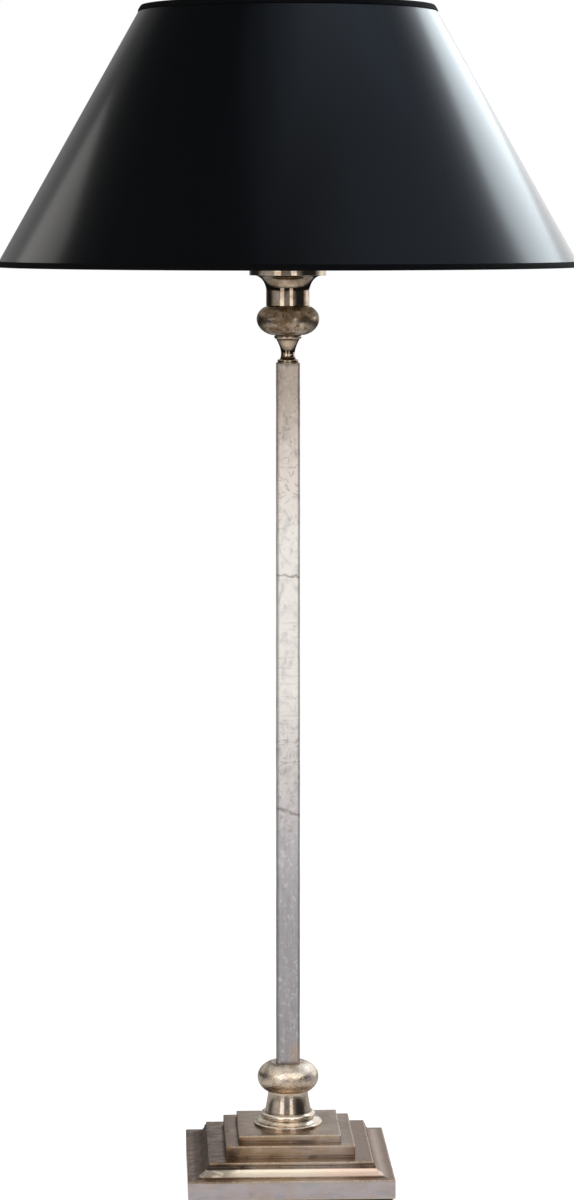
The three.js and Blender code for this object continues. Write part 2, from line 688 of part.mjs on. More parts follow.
// A round bar with a notch at its middle for the rocker. At rest it stands out further at -X.
function switchBar() {
  const low = -(SWITCH_LENGTH + SWITCH_TRAVEL) / 2;
  const high = low + SWITCH_LENGTH;
  const middle = (low + high) / 2;
  const notchHalf = SWITCH_NOTCH_LENGTH / 2;
  const notchRadius = SWITCH_RADIUS - SWITCH_NOTCH;
  return acrossLamp(turned([
    [0, low],
    [notchRadius, low],
    [SWITCH_RADIUS, low + SWITCH_NOTCH],
    [SWITCH_RADIUS, middle - notchHalf],
    [notchRadius, middle - notchHalf + SWITCH_NOTCH],
    [notchRadius, middle + notchHalf - SWITCH_NOTCH],
    [SWITCH_RADIUS, middle + notchHalf],
    [SWITCH_RADIUS, high - SWITCH_NOTCH],
    [notchRadius, high],
    [0, high],
  ], SMALL_TURN));
}

// A porcelain cup round the screw shell, on a foot that sits in the cap.
function holderInsert() {
  const shoulder = CAP_TOP + CAP_SPIGOT_HEIGHT + SEAT_GAP;
  const boreRadius = SCREW_SHELL_RADIUS + BORE_GAP;
  return turned([
    [0, INSERT_BOTTOM],
    [INSERT_FOOT_RADIUS, INSERT_BOTTOM],
    [INSERT_FOOT_RADIUS, shoulder],
    [INSERT_RADIUS, shoulder],
    [INSERT_RADIUS, INSERT_TOP],
    [boreRadius, INSERT_TOP],
    [boreRadius, INSERT_SEAT],
    [0, INSERT_SEAT],
  ], HIDDEN_TURN);
}

// The outer shell stands on the cap, has a collar for the shade's fitter and a lip over the insert.
function holderShell() {
  const collarBottom = CAP_TOP + COLLAR_RISE;
  const lipBottom = INSERT_TOP + SEAT_GAP;
  const lipBore = INSERT_RADIUS - INSERT_WALL;
  return turned([
    [SHELL_BORE_RADIUS, CAP_TOP],
    [SHELL_RADIUS, CAP_TOP],
    [SHELL_RADIUS, collarBottom],
    [COLLAR_RADIUS, collarBottom],
    [COLLAR_RADIUS, COLLAR_TOP],
    [SHELL_RADIUS, COLLAR_TOP],
    [SHELL_RADIUS, lipBottom],
    [SHELL_RADIUS - SHELL_LIP, lipBottom + SHELL_LIP],
    [lipBore, lipBottom + SHELL_LIP],
    [lipBore, lipBottom],
    [SHELL_BORE_RADIUS, lipBottom],
  ], FINE_TURN);
}

// The sprung tongue under the bulb: a flat foot, a slope, a level top and a turned-down end.
function centreContact() {
  const topHalf = CONTACT_REACH / 4;
  const underside = [
    [-CONTACT_REACH, 0],
    [-CONTACT_REACH * 0.7, 0],
    [-topHalf, CONTACT_RISE - CONTACT_THICK],
    [topHalf, CONTACT_RISE - CONTACT_THICK],
    [CONTACT_REACH / 2, CONTACT_RISE / 2],
  ];
  const topside = underside.map(([x, z]) => [x, z + CONTACT_THICK]).reverse();
  const strip = new THREE.Shape([...underside, ...topside].map(([x, z]) => new THREE.Vector2(x, z)));
  const options = { depth: CONTACT_WIDTH, bevelEnabled: false };
  const flat = new THREE.ExtrudeGeometry(strip, options).translate(0, 0, -CONTACT_WIDTH / 2);
  return flat.rotateX(Math.PI / 2).translate(0, 0, INSERT_SEAT);
}

// The ring that clamps the fitter: a threaded bore and a rim of rounded grips, as a wave round a circle.
function shadeRing() {
  const bottom = FITTER_TOP + RUN_GAP;
  const pointsPerGrip = 4;
  const points = RING_GRIPS * pointsPerGrip;
  const rim = Array.from({ length: points }, (_, i) => {
    const angle = (2 * Math.PI * i) / points;
    const radius = RING_RADIUS - (RING_GRIP_DEPTH * (1 + Math.cos(RING_GRIPS * angle))) / 2;
    return new THREE.Vector2(radius * Math.cos(angle), radius * Math.sin(angle));
  });
  const bore = new THREE.Path();
  bore.absarc(0, 0, SHELL_RADIUS + BORE_GAP, 0, 2 * Math.PI, true);
  const shape = new THREE.Shape(rim);
  shape.holes.push(bore);
  return extruded(shape, bottom, bottom + RING_HEIGHT, FINE_TURN / 2);
}

const screwShellBore = SCREW_SHELL_RADIUS - SCREW_SHELL_WALL;
const screwShellTop = INSERT_SEAT + SCREW_SHELL_HEIGHT;
const holder = new THREE.Group();
holder.add(
  piece("holder_cap", holderCap(), plainBrass()),
  piece("switch_bar", switchBar(), blackPlastic()),
  piece("holder_insert", holderInsert(), porcelain()),
  piece("screw_shell", sleeve(screwShellBore, SCREW_SHELL_RADIUS, INSERT_SEAT, screwShellTop), plainBrass()),
  piece("centre_contact", centreContact(), plainBrass()),
  piece("holder_shell", holderShell(), plainBrass()),
  piece("shade_ring", shadeRing(), plainBrass()),
);

// Bulb: a glass envelope in a screw cap, with an insulator and a contact tip
const tipTop = BULB_SEAT + BULB_TIP_HEIGHT;
const insulatorTop = tipTop + BULB_INSULATOR_HEIGHT;
const bulbCapTop = insulatorTop + BULB_CAP_HEIGHT;

function bulbTip() {
  return turned([
    [0, BULB_SEAT],
    [BULB_TIP_RADIUS / 2, BULB_SEAT],
    [BULB_TIP_RADIUS, BULB_SEAT + BULB_TIP_HEIGHT / 2],
    [BULB_TIP_RADIUS, tipTop],
    [0, tipTop],
  ], SMALL_TURN);
}

function bulbInsulator() {
  return turned([
    [0, tipTop],
    [BULB_TIP_RADIUS + BULB_CAP_WALL, tipTop],
    [BULB_INSULATOR_RADIUS, insulatorTop],
    [0, insulatorTop],
  ], HIDDEN_TURN);
}

function bulbCap() {
  const taper = BULB_CAP_RADIUS - BULB_INSULATOR_RADIUS;
  return turned([
    [BULB_INSULATOR_RADIUS - BULB_CAP_WALL, insulatorTop],
    [BULB_INSULATOR_RADIUS, insulatorTop],
    [BULB_CAP_RADIUS, insulatorTop + taper],
    [BULB_CAP_RADIUS, bulbCapTop],
    [BULB_CAP_RADIUS - BULB_CAP_WALL, bulbCapTop],
    [BULB_CAP_RADIUS - BULB_CAP_WALL, insulatorTop + taper],
  ], HIDDEN_TURN);
}

// One side of the glass, from its neck in the cap up to its crown.
function glassSide(inset, steps) {
  const neck = BULB_NECK_RADIUS - inset;
  const round = BULB_RADIUS - inset;
  const centre = BULB_SEAT + BULB_LENGTH - BULB_RADIUS;
  const rise = centre - bulbCapTop;
  return [
    [neck, bulbCapTop - BULB_CAP_HEIGHT / 3],
    ...sweep(
      [neck, bulbCapTop],
      [neck, bulbCapTop + rise / 3],
      [round, centre - rise / 2.5],
      [round, centre],
      steps,
    ),
    ...arc(0, centre, round, round, 0, 90, steps).slice(1, -1),
    [0, centre + round],
  ];
}

function bulbGlass() {
  return turned([...glassSide(0, 5), ...glassSide(BULB_GLASS_WALL, 4).reverse()], HIDDEN_TURN);
}

const bulb = new THREE.Group();
bulb.add(
  piece("bulb_tip", bulbTip(), steel()),
  piece("bulb_insulator", bulbInsulator(), blackPlastic()),
  piece("bulb_cap", bulbCap(), steel()),
  piece("bulb_glass", bulbGlass(), opalGlass()),
);

// Shade: a card cone with taped rims over wire hoops, carried by a fitter with three spokes
const shadeSlope = (SHADE_BOTTOM_RADIUS - SHADE_TOP_RADIUS) / SHADE_HEIGHT;
const depthToRadius = Math.hypot(1, shadeSlope);

// A profile point at a height, a depth square to the wall in from the shade's outer face.
function onShade(z, depth) {
  return [SHADE_BOTTOM_RADIUS - (z - SHADE_BOTTOM) * shadeSlope - depth * depthToRadius, z];
}

const skinInset = TRIM_THICK + GLUE_GAP;
const hoopDepth = SHADE_THICK + GLUE_GAP + HOOP_RADIUS;
const hoopInset = skinInset + HOOP_RADIUS;
const tapeDepth = hoopDepth + HOOP_RADIUS + GLUE_GAP;

// A band of the shade's wall between two heights and two depths.
function shadeBand(bottom, top, outer, inner) {
  return [onShade(bottom, outer), onShade(top, outer), onShade(top, inner), onShade(bottom, inner)];
}

function hoop(height) {
  const [radius] = onShade(height, hoopDepth);
  const half = 360 / HOOP_FACES / 2;
  const wire = arc(radius, height, HOOP_RADIUS, HOOP_RADIUS, half, half + 360, HOOP_FACES).slice(1);
  return turned(wire, SHADE_TURN);
}

// Tape folded over a rim: it reaches from the rim towards the middle of the shade, outside and inside.
function rimTape(rim, towardsMiddle) {
  const web = rim + towardsMiddle * TRIM_THICK;
  const edge = rim + towardsMiddle * TRIM_WIDTH;
  const outerFace = -GLUE_GAP - TRIM_THICK;
  return turned([
    onShade(rim, outerFace),
    onShade(rim, tapeDepth + TRIM_THICK),
    onShade(edge, tapeDepth + TRIM_THICK),
    onShade(edge, tapeDepth),
    onShade(web, tapeDepth),
    onShade(web, -GLUE_GAP),
    onShade(edge, -GLUE_GAP),
    onShade(edge, outerFace),
  ], SHADE_TURN);
}

// A spoke runs level out of the fitter, then down to the inner side of the bottom hoop.
function spoke(radius, endGap, index) {
  const start = RING_RADIUS + BORE_GAP + SPOKE_RADIUS / 2;
  const level = (FITTER_BOTTOM + FITTER_TOP) / 2;
  const hoopHeight = SHADE_BOTTOM + hoopInset;
  const end = onShade(hoopHeight, hoopDepth)[0] - HOOP_RADIUS - endGap;
  const bend = start + SPOKE_ROOT;
  const route = [
    [start, level],
    [bend, level],
    [(bend + end) / 2, (level + hoopHeight) / 2],
    [end, hoopHeight],
  ].map(([r, z]) => new THREE.Vector3(r, 0, z));
  const bar = barAlong(new THREE.CatmullRomCurve3(route), radius, 10, 3);
  return bar.rotateZ(Math.PI / 2 + (2 * Math.PI * index) / SPOKE_COUNT);
}

const spokeIndexes = [...Array(SPOKE_COUNT).keys()];

function fitter() {
  const bore = SHELL_RADIUS + FITTER_CLEARANCE;
  const ring = sleeve(bore, FITTER_RADIUS, FITTER_BOTTOM, FITTER_TOP, FINE_TURN);
  return join(ring, ...spokeIndexes.map((i) => spoke(SPOKE_RADIUS, SEAT_GAP, i)));
}

const skinBottom = SHADE_BOTTOM + skinInset;
const skinTop = SHADE_TOP - skinInset;
const spokeSlots = spokeIndexes.map((i) => spoke(SPOKE_RADIUS + BORE_GAP, 0, i));
const bottomTape = cut(rimTape(SHADE_BOTTOM, 1), ...spokeSlots);

const shade = new THREE.Group();
shade.add(
  piece("fitter", fitter(), steel()),
  piece("shade_skin", turned(shadeBand(skinBottom, skinTop, 0, SHADE_THICK), SHADE_TURN), blackCard()),
  piece("bottom_ring", hoop(SHADE_BOTTOM + hoopInset), steel()),
  piece("top_ring", hoop(SHADE_TOP - hoopInset), steel()),
  piece("bottom_trim", bottomTape, blackTape()),
  piece("top_trim", rimTape(SHADE_TOP, -1), blackTape()),
);

const lamp = new THREE.Group();
lamp.add(base, column, holder, bulb, shade);

export default lamp;
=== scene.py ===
"""A tall table lamp: silvered turnings, a leafed square column, a stepped base and a black card shade.

Lengths are metres, +Z is up and the front is towards -Y. Each surface is a grid of points worked out at once.
"""

import math

import bpy
import numpy as np
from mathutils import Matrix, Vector


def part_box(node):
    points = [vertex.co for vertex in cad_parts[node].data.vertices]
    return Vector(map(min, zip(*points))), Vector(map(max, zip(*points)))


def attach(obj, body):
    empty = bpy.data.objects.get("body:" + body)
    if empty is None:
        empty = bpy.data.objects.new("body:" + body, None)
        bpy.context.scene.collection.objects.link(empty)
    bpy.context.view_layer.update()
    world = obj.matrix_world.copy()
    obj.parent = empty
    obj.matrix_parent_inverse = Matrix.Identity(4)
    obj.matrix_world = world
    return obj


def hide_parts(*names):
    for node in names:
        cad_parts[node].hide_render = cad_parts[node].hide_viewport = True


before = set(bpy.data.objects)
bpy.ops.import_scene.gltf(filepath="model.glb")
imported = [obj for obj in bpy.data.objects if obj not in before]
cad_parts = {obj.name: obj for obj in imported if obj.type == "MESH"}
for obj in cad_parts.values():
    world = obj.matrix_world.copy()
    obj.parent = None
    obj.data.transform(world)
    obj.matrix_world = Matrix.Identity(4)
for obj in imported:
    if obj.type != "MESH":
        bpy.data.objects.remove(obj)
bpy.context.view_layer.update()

MM = 0.001
FULL_TURN = 2 * math.pi
CORNERS = ((1, 1), (-1, 1), (-1, -1), (1, -1))

# Where the photograph was taken from: focal length over its long side, distance, height, turn and pitch
PHOTO_WIDTH, PHOTO_HEIGHT = 574, 1200
SENSOR = 36
FOCAL_PIXELS = 3551.7
CAMERA_DISTANCE = 2.4377
CAMERA_HEIGHT = 0.661
CAMERA_TURN = math.radians(-2.285)
CAMERA_PITCH = math.radians(2.5)
AXIS_X_PIXELS = 287.96
SHIFT_Y_PIXELS = -223.25

# Turned foot of the column
BORE_RADIUS = 5.3 * MM
FLANGE_EDGE = 1.4 * MM
SKIRT_HEIGHT = 4.6 * MM
BEAD_RADIUS = 19 * MM
BEAD_THICK = 3.6 * MM
FLARE_RADIUS = 16.4 * MM
STEM_RADIUS = 13.7 * MM
STEM_STRAIGHT = 0.8 * MM
BEAD_EASE = 0.4 * MM

# Flattened balls
KNOB_CORE = 8 * MM
LOWER_EQUATOR = 9 * MM
LOWER_KNOB_FOOT = 15.5 * MM
LOWER_KNOB_TOP = 11.6 * MM
UPPER_EQUATOR = 11 * MM
UPPER_KNOB_FOOT = 11.3 * MM
UPPER_KNOB_TOP = 15.9 * MM

# Spool on the column
SPOOL_BORE = 2.8 * MM
SPOOL_SPIGOT = 7 * MM
SPOOL_SPIGOT_RADIUS = 5 * MM
SPOOL_FOOT_RADIUS = 7.9 * MM
SPOOL_FOOT_EDGE = 0.6 * MM
SPOOL_BEAD = 2 * MM
SPOOL_WAIST_HEIGHT = 6.8 * MM
SPOOL_WAIST_RADIUS = 4.8 * MM
SPOOL_COLLAR = 2.8 * MM

# Candle cup
CUP_STEM_RADIUS = 15 * MM
CUP_STEM_HEIGHT = 10.5 * MM
CUP_FLANGE = 3.8 * MM
CUP_EDGE = 0.8 * MM
CUP_DISH_RADIUS = 23.5 * MM
CUP_DISH_DEPTH = 1.8 * MM

# Square column
COLUMN_WALL = 1.5 * MM
COLUMN_CORNER = 1.9 * MM
COLUMN_WAVER = 0.03 * MM
COLUMN_WAVES = ((2, 41, 0), (3, -97, 1), (1, 173, 2))
LEAF_LOW, LEAF_HIGH = 0.08, 0.564
# Height, slant and width of each join between sheets of leaf
LEAF_JOINS = ((0.418, 0.12, 1.6 * MM), (0.304, 0.03, 0.8 * MM), (0.289, -0.05, 1.2 * MM),
              (0.255, 0.3, 2.6 * MM))

# Stepped casting and the felt under it
PLINTH_WALL = 3 * MM
ROOF_WALL = 4 * MM
LIP_WIDTH = 3.5 * MM
LIP_HEIGHT = 13 * MM
COVE_DEPTH = 9.5 * MM
COVE_HEIGHT = 6.8 * MM
COVE_STEP = 1 * MM
LOW_TIER = 2.2 * MM
MID_TIER_HALF = 44 * MM
MID_TIER = 8 * MM
TOP_TIER_HALF = 35 * MM
TIER_EDGE = 0.8 * MM
CASTING_CORNER = 0.7 * MM
POST_RADIUS = 4.5 * MM
POST_PLACE = 58 * MM
POST_TOP = 15 * MM
INLET_RADIUS = 3.8 * MM
COVER_TOP = 3.5 * MM
BUSH_BORE = 2.8 * MM
BUSH_RADIUS = 3.5 * MM
CASTING_ROUND = (20 * MM, 31 * MM)
WANDER = (0.1 * MM, 0.2 * MM, 0.36 * MM)
WANDER_START = 26 * MM
WANDER_WIDTH = 6 * MM
LIFT_SHARE = 0.2
FELT_EDGE = 0.6 * MM
FELT_CORNER = 3 * MM
FELT_ROUND = (10 * MM, 40 * MM)
FELT_WAVER = 0.15 * MM
FELT_WAVER_START = 60 * MM
FELT_WAVER_WIDTH = 8 * MM

# Lampholder and bulb
SEAT_GAP = 0.3 * MM
CAP_DOME = 7 * MM
CAP_WALL = 2 * MM
CAP_HEIGHT = 15.5 * MM
CAP_SPIGOT_RADIUS = 16.5 * MM
CAP_BORE = 15 * MM
CAP_CAVITY = 13.5 * MM
SHELL_RADIUS = 19 * MM
SHELL_BORE = 16.8 * MM
SHELL_COLLAR_RISE = 3 * MM
SHELL_COLLAR = 2.5 * MM
SHELL_LIP = 1.4 * MM
SHELL_LIP_WIDTH = 3 * MM
INSERT_FOOT = 14.7 * MM
INSERT_RADIUS = 16.4 * MM
INSERT_BORE = 14.6 * MM
INSERT_SHOULDER = 7.3 * MM
INSERT_FLOOR = 11 * MM
SCREW_WALL = 0.6 * MM
SCREW_PITCH = 3.6 * MM
SCREW_DEPTH = 0.5 * MM
SHELL_PITCH = 2 * MM
SHELL_DEPTH = 0.45 * MM
SWITCH_CHAMFER = 0.8 * MM
SWITCH_NOTCH = 4 * MM
GRIPS = 20
GRIP_DEPTH = 0.9 * MM
RING_BORE = 19.3 * MM
RING_RADIUS = 25 * MM
BULB_NECK = 12.2 * MM
BULB_GLASS = 0.8 * MM
BULB_CAP_WALL = 0.5 * MM
BULB_INSULATOR = 10.5 * MM
BULB_THREAD_END = 3 * MM

# Shade
SHADE_FOOT_RADIUS = 200 * MM
SHADE_TOP_RADIUS = 100 * MM
CARD = 1.2 * MM
CARD_LAP = 0.35 * MM
CARD_LAP_PLACE = math.radians(96)
CARD_LAP_TURN = math.radians(4)
CARD_LAP_EDGE = 0.0008
CARD_SAG = 0.12 * MM
TAPE = 0.6 * MM
TAPE_WIDTH = 4 * MM
TAPE_PUCKER = 0.05 * MM
TAPE_RIBS = 1400
GLUE = 0.1 * MM
WIRE = 1.5 * MM
FITTER_BORE = 19.9 * MM
FITTER_RADIUS = 28 * MM
FITTER_THICK = 2 * MM
SPOKES = 3
SPOKE_START = 26 * MM
SPOKE_LEVEL = 16 * MM
SPOKE_BEND = 26 * MM
SPOKE_REACH = 50 * MM
SPOKE_RISE = 3 * MM

# How finely surfaces are drawn: columns round a piece, and the turns that count as a corner or a sharp edge
FINE = 160
COARSE = 96
SHADE_COLUMNS = 240
CORNER_TURN = math.radians(12)
SHARP_TURN = math.radians(50)
SIDE_SHARE = 0.45

# The studio: the floor, and how bright polished metal sees each side of the room
FLOOR_REACH = 6.0
FLOOR_DROP = -0.0002
FLOOR_GLOW = 0.8
RIGHT_WHITE = 0.95
SIDE_WHITE = 0.6
LEFT_GREY = 0.11
LEFT_WALL = 0.32
BACK_GREY = 0.22
FRONT_GREY = 0.26
HIGH_GREY = 0.36
DARK = 0.03
AMBIENT = 0.45
WARM, COOL, SKY = (1, 0.98, 0.95), (0.8, 0.93, 1), (0.66, 0.8, 1)
# Each panel's name, place, target, width, height, radiance and colour
PANELS = [
    ("window_left", (-0.74, -1.13, 0.62), (0, 0, 0.5), 0.5, 1.1, 1.3, WARM),
    ("window_right", (0.36, -1.3, 0.62), (0, 0, 0.5), 0.4, 1.1, 1.3, WARM),
    ("low_header", (0, -0.6, 0.6), (0, -0.6, 0), 1.7, 0.7, 1.75, WARM),
    ("side_right", (1.0, 0.94, 1.26), (0.16, -0.05, 0.74), 1.1, 0.5, 2.6, COOL),
    ("side_left", (-0.55, 0.25, 0.86), (-0.17, -0.1, 0.66), 0.25, 0.22, 0.8, WARM),
    ("above_1", (0.1, -0.21, 1.09), (0.03, -0.1, 0.8), 0.2, 0.08, 0.11, SKY),
    ("above_2", (0.1, -0.21, 1.1), (0.03, -0.1, 0.8), 0.4, 0.16, 0.11, SKY),
    ("above_3", (0.1, -0.21, 1.11), (0.03, -0.1, 0.8), 0.6, 0.24, 0.11, SKY),
]


# Profiles: arrays of (radius, height) points that run counter-clockwise, so up an outer face

def arc(centre, radii, start, end, steps=14):
    """Part of an ellipse: its centre plus its radii times the cosine and sine of angles in degrees."""
    angle = np.radians(np.linspace(start, end, steps + 1))
    return np.asarray(centre) + np.column_stack([np.cos(angle), np.sin(angle)]) * radii


def sweep(start, start_pull, end_pull, end, steps=18):
    """A cubic Bezier curve: four points weighted by (1-t)^3, 3t(1-t)^2, 3t^2(1-t) and t^3."""
    t = np.linspace(0, 1, steps + 1)[:, None]
    a, b, c, d = np.array([start, start_pull, end_pull, end], float)
    return (1 - t) ** 3 * a + 3 * t * (1 - t) ** 2 * b + 3 * t**2 * (1 - t) * c + t**3 * d


def outline(*parts):
    """One profile from points and runs of points, without repeats, turned to run counter-clockwise."""
    points = np.concatenate([np.atleast_2d(np.asarray(part, float)) for part in parts])
    apart = np.linalg.norm(points - np.roll(points, 1, axis=0), axis=1) > 0.001 * MM
    apart[0] = True
    points = points[apart]
    ahead = np.roll(points, -1, axis=0)
    area = (points[:, 0] * ahead[:, 1] - ahead[:, 0] * points[:, 1]).sum()
    return points if area > 0 else points[::-1]


def band(inner, outer, foot, top):
    """A rectangle's profile, between two radii and two heights."""
    return outline([inner, foot], [outer, foot], [outer, top], [inner, top])


def softened(profile, radius, closed=True, steps=4):
    """Each sharp corner becomes a parabola between points set back along both sides of it.

    The set-back is the radius times the tangent of half the turn, at most a share of either side, and the
    parabola is (1-t)^2 A + 2t(1-t) corner + t^2 B.
    """
    back = np.roll(profile, 1, axis=0) - profile
    ahead = np.roll(profile, -1, axis=0) - profile
    back_length = np.linalg.norm(back, axis=1)[:, None]
    ahead_length = np.linalg.norm(ahead, axis=1)[:, None]
    back, ahead = back / back_length, ahead / ahead_length
    turn = math.pi - np.arccos(np.clip((back * ahead).sum(axis=1), -1, 1))[:, None]
    set_back = np.minimum(radius * np.tan(np.minimum(turn, 3) / 2),
                          SIDE_SHARE * np.minimum(back_length, ahead_length))
    sharp = turn[:, 0] > CORNER_TURN
    if not closed:
        sharp[[0, -1]] = False
    t = np.linspace(0, 1, steps + 1)[:, None]
    corner = profile[:, None]
    first, last = (profile + back * set_back)[:, None], (profile + ahead * set_back)[:, None]
    rounds = (1 - t) ** 2 * first + 2 * t * (1 - t) * corner + t**2 * last
    rounds[~sharp, 0] = profile[~sharp]
    kept = sharp[:, None] | (np.arange(steps + 1) == 0)
    return rounds[kept]


def lengths_along(profile, closed):
    """The length along a profile at each of its points, and once more at the end where it closes."""
    loop = np.vstack([profile, profile[:1]]) if closed else profile
    return loop, np.concatenate([[0], np.cumsum(np.linalg.norm(np.diff(loop, axis=0), axis=1))])


def refined(profile, step, closed=True):
    """A profile with points added at every step along it, between its own points."""
    loop, length = lengths_along(profile, closed)
    at = np.union1d(length, np.arange(0, length[-1], step))
    at = at[np.diff(at, append=at[-1] + step) > 0.01 * MM]
    made = np.column_stack([np.interp(at, length, loop[:, k]) for k in (0, 1)])
    return made[:-1] if closed else made


def eased(profile, rounding, step, closed=True):
    """A profile with its corners softened and points at every step."""
    return refined(softened(profile, rounding, closed), step, closed)


def bends(profile, reach, closed=True):
    """How much a profile turns round about each point, in radians: over 0 on an edge, under 0 in a crease.

    The turn at every point is spread along the profile by a bell curve whose width is the reach.
    """
    _, length = lengths_along(profile, closed)
    ahead = np.roll(profile, -1, axis=0) - profile
    back = profile - np.roll(profile, 1, axis=0)
    turn = np.arctan2(back[:, 0] * ahead[:, 1] - back[:, 1] * ahead[:, 0], (back * ahead).sum(axis=1))
    if not closed:
        turn[[0, -1]] = 0
    place = length[:-1] if closed else length
    apart = np.abs(place[:, None] - place[None])
    if closed:
        apart = np.minimum(apart, length[-1] - apart)
    return (np.exp(-0.5 * (apart / reach) ** 2) * turn[None]).sum(axis=1)


def even_turns(columns):
    """Angles evenly round a circle."""
    return np.arange(columns) * FULL_TURN / columns


def turned(profile, turns):
    """A profile turned round the lamp's axis: (r cos a, r sin a, z) on a grid of rows and angles."""
    radius, height = profile[:, 0][:, None], profile[:, 1][:, None]
    return np.stack(np.broadcast_arrays(radius * np.cos(turns), radius * np.sin(turns), height), axis=-1)


def pushed_out(points, distance):
    """Points on turned rows, moved away from the lamp's axis by a distance for each."""
    radius = np.maximum(np.hypot(points[..., 0], points[..., 1]), 1e-9)
    scale = 1 + distance / radius
    return points * np.stack([scale, scale, np.ones_like(scale)], axis=-1)


def square_round(flat_steps, corner_steps):
    """A path round a square: for each column the place on a unit square and the outward side.

    Along a side the place moves and the side stays, and at a corner the side turns through a quarter.
    """
    along = np.linspace(-1, 1, flat_steps, endpoint=False)
    bend = np.linspace(0, math.pi / 2, corner_steps, endpoint=False)
    places, sides = [], []
    for quarter in range(4):
        c, s = round(math.cos(quarter * math.pi / 2)), round(math.sin(quarter * math.pi / 2))
        spin = np.array([[c, s], [-s, c]], float)
        places += [np.column_stack([np.ones(flat_steps), along]) @ spin, np.ones((corner_steps, 2)) @ spin]
        sides += [np.tile([1.0, 0.0], (flat_steps, 1)) @ spin,
                  np.column_stack([np.cos(bend), np.sin(bend)]) @ spin]
    return np.concatenate(places), np.concatenate(sides)


def squared(profile, corner, roundness, path):
    """A profile carried round a square: half sizes and heights, with a corner radius and a roundness a row.

    A row lies at (half - corner) times the unit square plus corner times the outward side. Where its
    roundness is 1 it is a circle instead, and in between it is a blend of both.
    """
    place, side = path
    half, height = profile[:, 0][:, None, None], profile[:, 1][:, None]
    corner = np.minimum(np.broadcast_to(corner, len(profile))[:, None, None], half)
    roundness = np.broadcast_to(roundness, len(profile))[:, None, None]
    square = (half - corner) * place + corner * side
    blunt = place + 0.02 * side
    circle = half * blunt / np.linalg.norm(blunt, axis=1, keepdims=True)
    flat = square * (1 - roundness) + circle * roundness
    return np.dstack([flat, np.broadcast_to(height, flat.shape[:2])])


def waves(turns, seed, count=9, lowest=1):
    """Smooth unevenness round a piece, about -1 to 1: cosines of whole numbers of waves, fine ones small."""
    rng = np.random.default_rng(seed)
    number = np.arange(lowest, lowest + count)
    size = rng.normal(size=count) / np.sqrt(np.arange(1, count + 1))
    phase = rng.uniform(0, FULL_TURN, count)
    made = (size * np.cos(turns[..., None] * number + phase)).sum(axis=-1)
    return made / max(np.abs(size).sum() * 0.6, 1e-9)


def bar_along(route, radius, sides=20, rounding=0.25):
    """A round bar along a route of (radius, height) points in the plane of the X axis, its ends closed.

    Each ring is the route's point plus the bar's radius times (cosine of its angle along the normal in
    the plane, sine along Y). Both ends come in over a small rounding to a pole.
    """
    route = np.asarray(route, float)
    tangent = np.gradient(route, axis=0)
    tangent /= np.linalg.norm(tangent, axis=1, keepdims=True)
    reach = np.array([0, 0.7, 1]) * rounding * radius
    slim = np.array([0, 1 - rounding, 1 - rounding * 0.3])
    centres = np.concatenate([route[0] + tangent[0] * reach[:, None], route[1:-1],
                              route[-1] - tangent[-1] * reach[::-1, None]])
    along = np.concatenate([np.repeat(tangent[:1], 3, 0), tangent[1:-1], np.repeat(tangent[-1:], 3, 0)])
    size = radius * np.concatenate([slim, np.ones(len(route) - 2), slim[::-1]])
    angle = even_turns(sides)
    normal = np.column_stack([along[:, 1], -along[:, 0]])
    across = np.cos(angle)[None, :, None] * normal[:, None] * size[:, None, None]
    in_plane = centres[:, None] + across
    sideways = np.sin(angle)[None] * size[:, None]
    return np.stack([in_plane[..., 0], sideways, in_plane[..., 1]], axis=-1)


def spun(points, angle):
    """Points turned round the lamp's axis by an angle."""
    c, s = math.cos(angle), math.sin(angle)
    return points @ np.array([[c, s, 0], [-s, c, 0], [0, 0, 1]])


# Meshes

def shell(points, closed=True, **marks):
    """Quads between neighbours on a (rows, columns, 3) grid whose columns go right round.

    Rows close on themselves where closed, and a row that is one point becomes a pole of triangles. The UV
    map holds the turn, from 0 to 1, and the length along the first column. Marks are numbers at the points.
    """
    rows, columns = points.shape[:2]
    row = np.arange(rows if closed else rows - 1)[:, None] + np.array([0, 0, 1, 1])
    column = np.arange(columns)[:, None] + np.array([0, 1, 1, 0])
    index = np.arange(rows * columns).reshape(rows, columns)
    poles = np.ptp(points, axis=1).max(axis=1) < 1e-7
    index[poles] = index[poles, :1]
    corners = index[(row % rows)[:, None], (column % columns)[None]]
    _, length = lengths_along(points[:, 0], closed)
    uv = np.stack(np.broadcast_arrays((column / columns)[None], length[row][:, None]), axis=-1)
    spread = {name: np.broadcast_to(np.reshape(mark, (rows, -1)), (rows, columns)).ravel()
              for name, mark in marks.items()}
    return {"points": points.reshape(-1, 3), "corners": corners.reshape(-1, 4), "uv": uv.reshape(-1, 4, 2),
            "marks": spread}


def worn(profile, reach=0.7 * MM, closed=True):
    """Marks for a metal finish: edge is 1 on a sharp edge, crease in a sharp crease, and up on level tops."""
    bend = bends(profile, reach, closed)
    along = np.roll(profile, -1, axis=0) - np.roll(profile, 1, axis=0)
    along = along / np.maximum(np.linalg.norm(along, axis=1), 1e-9)[:, None]
    return {"edge": np.clip(bend, 0, 1), "crease": np.clip(-bend, 0, 1), "up": np.clip(-along[:, 0], 0, 1)}


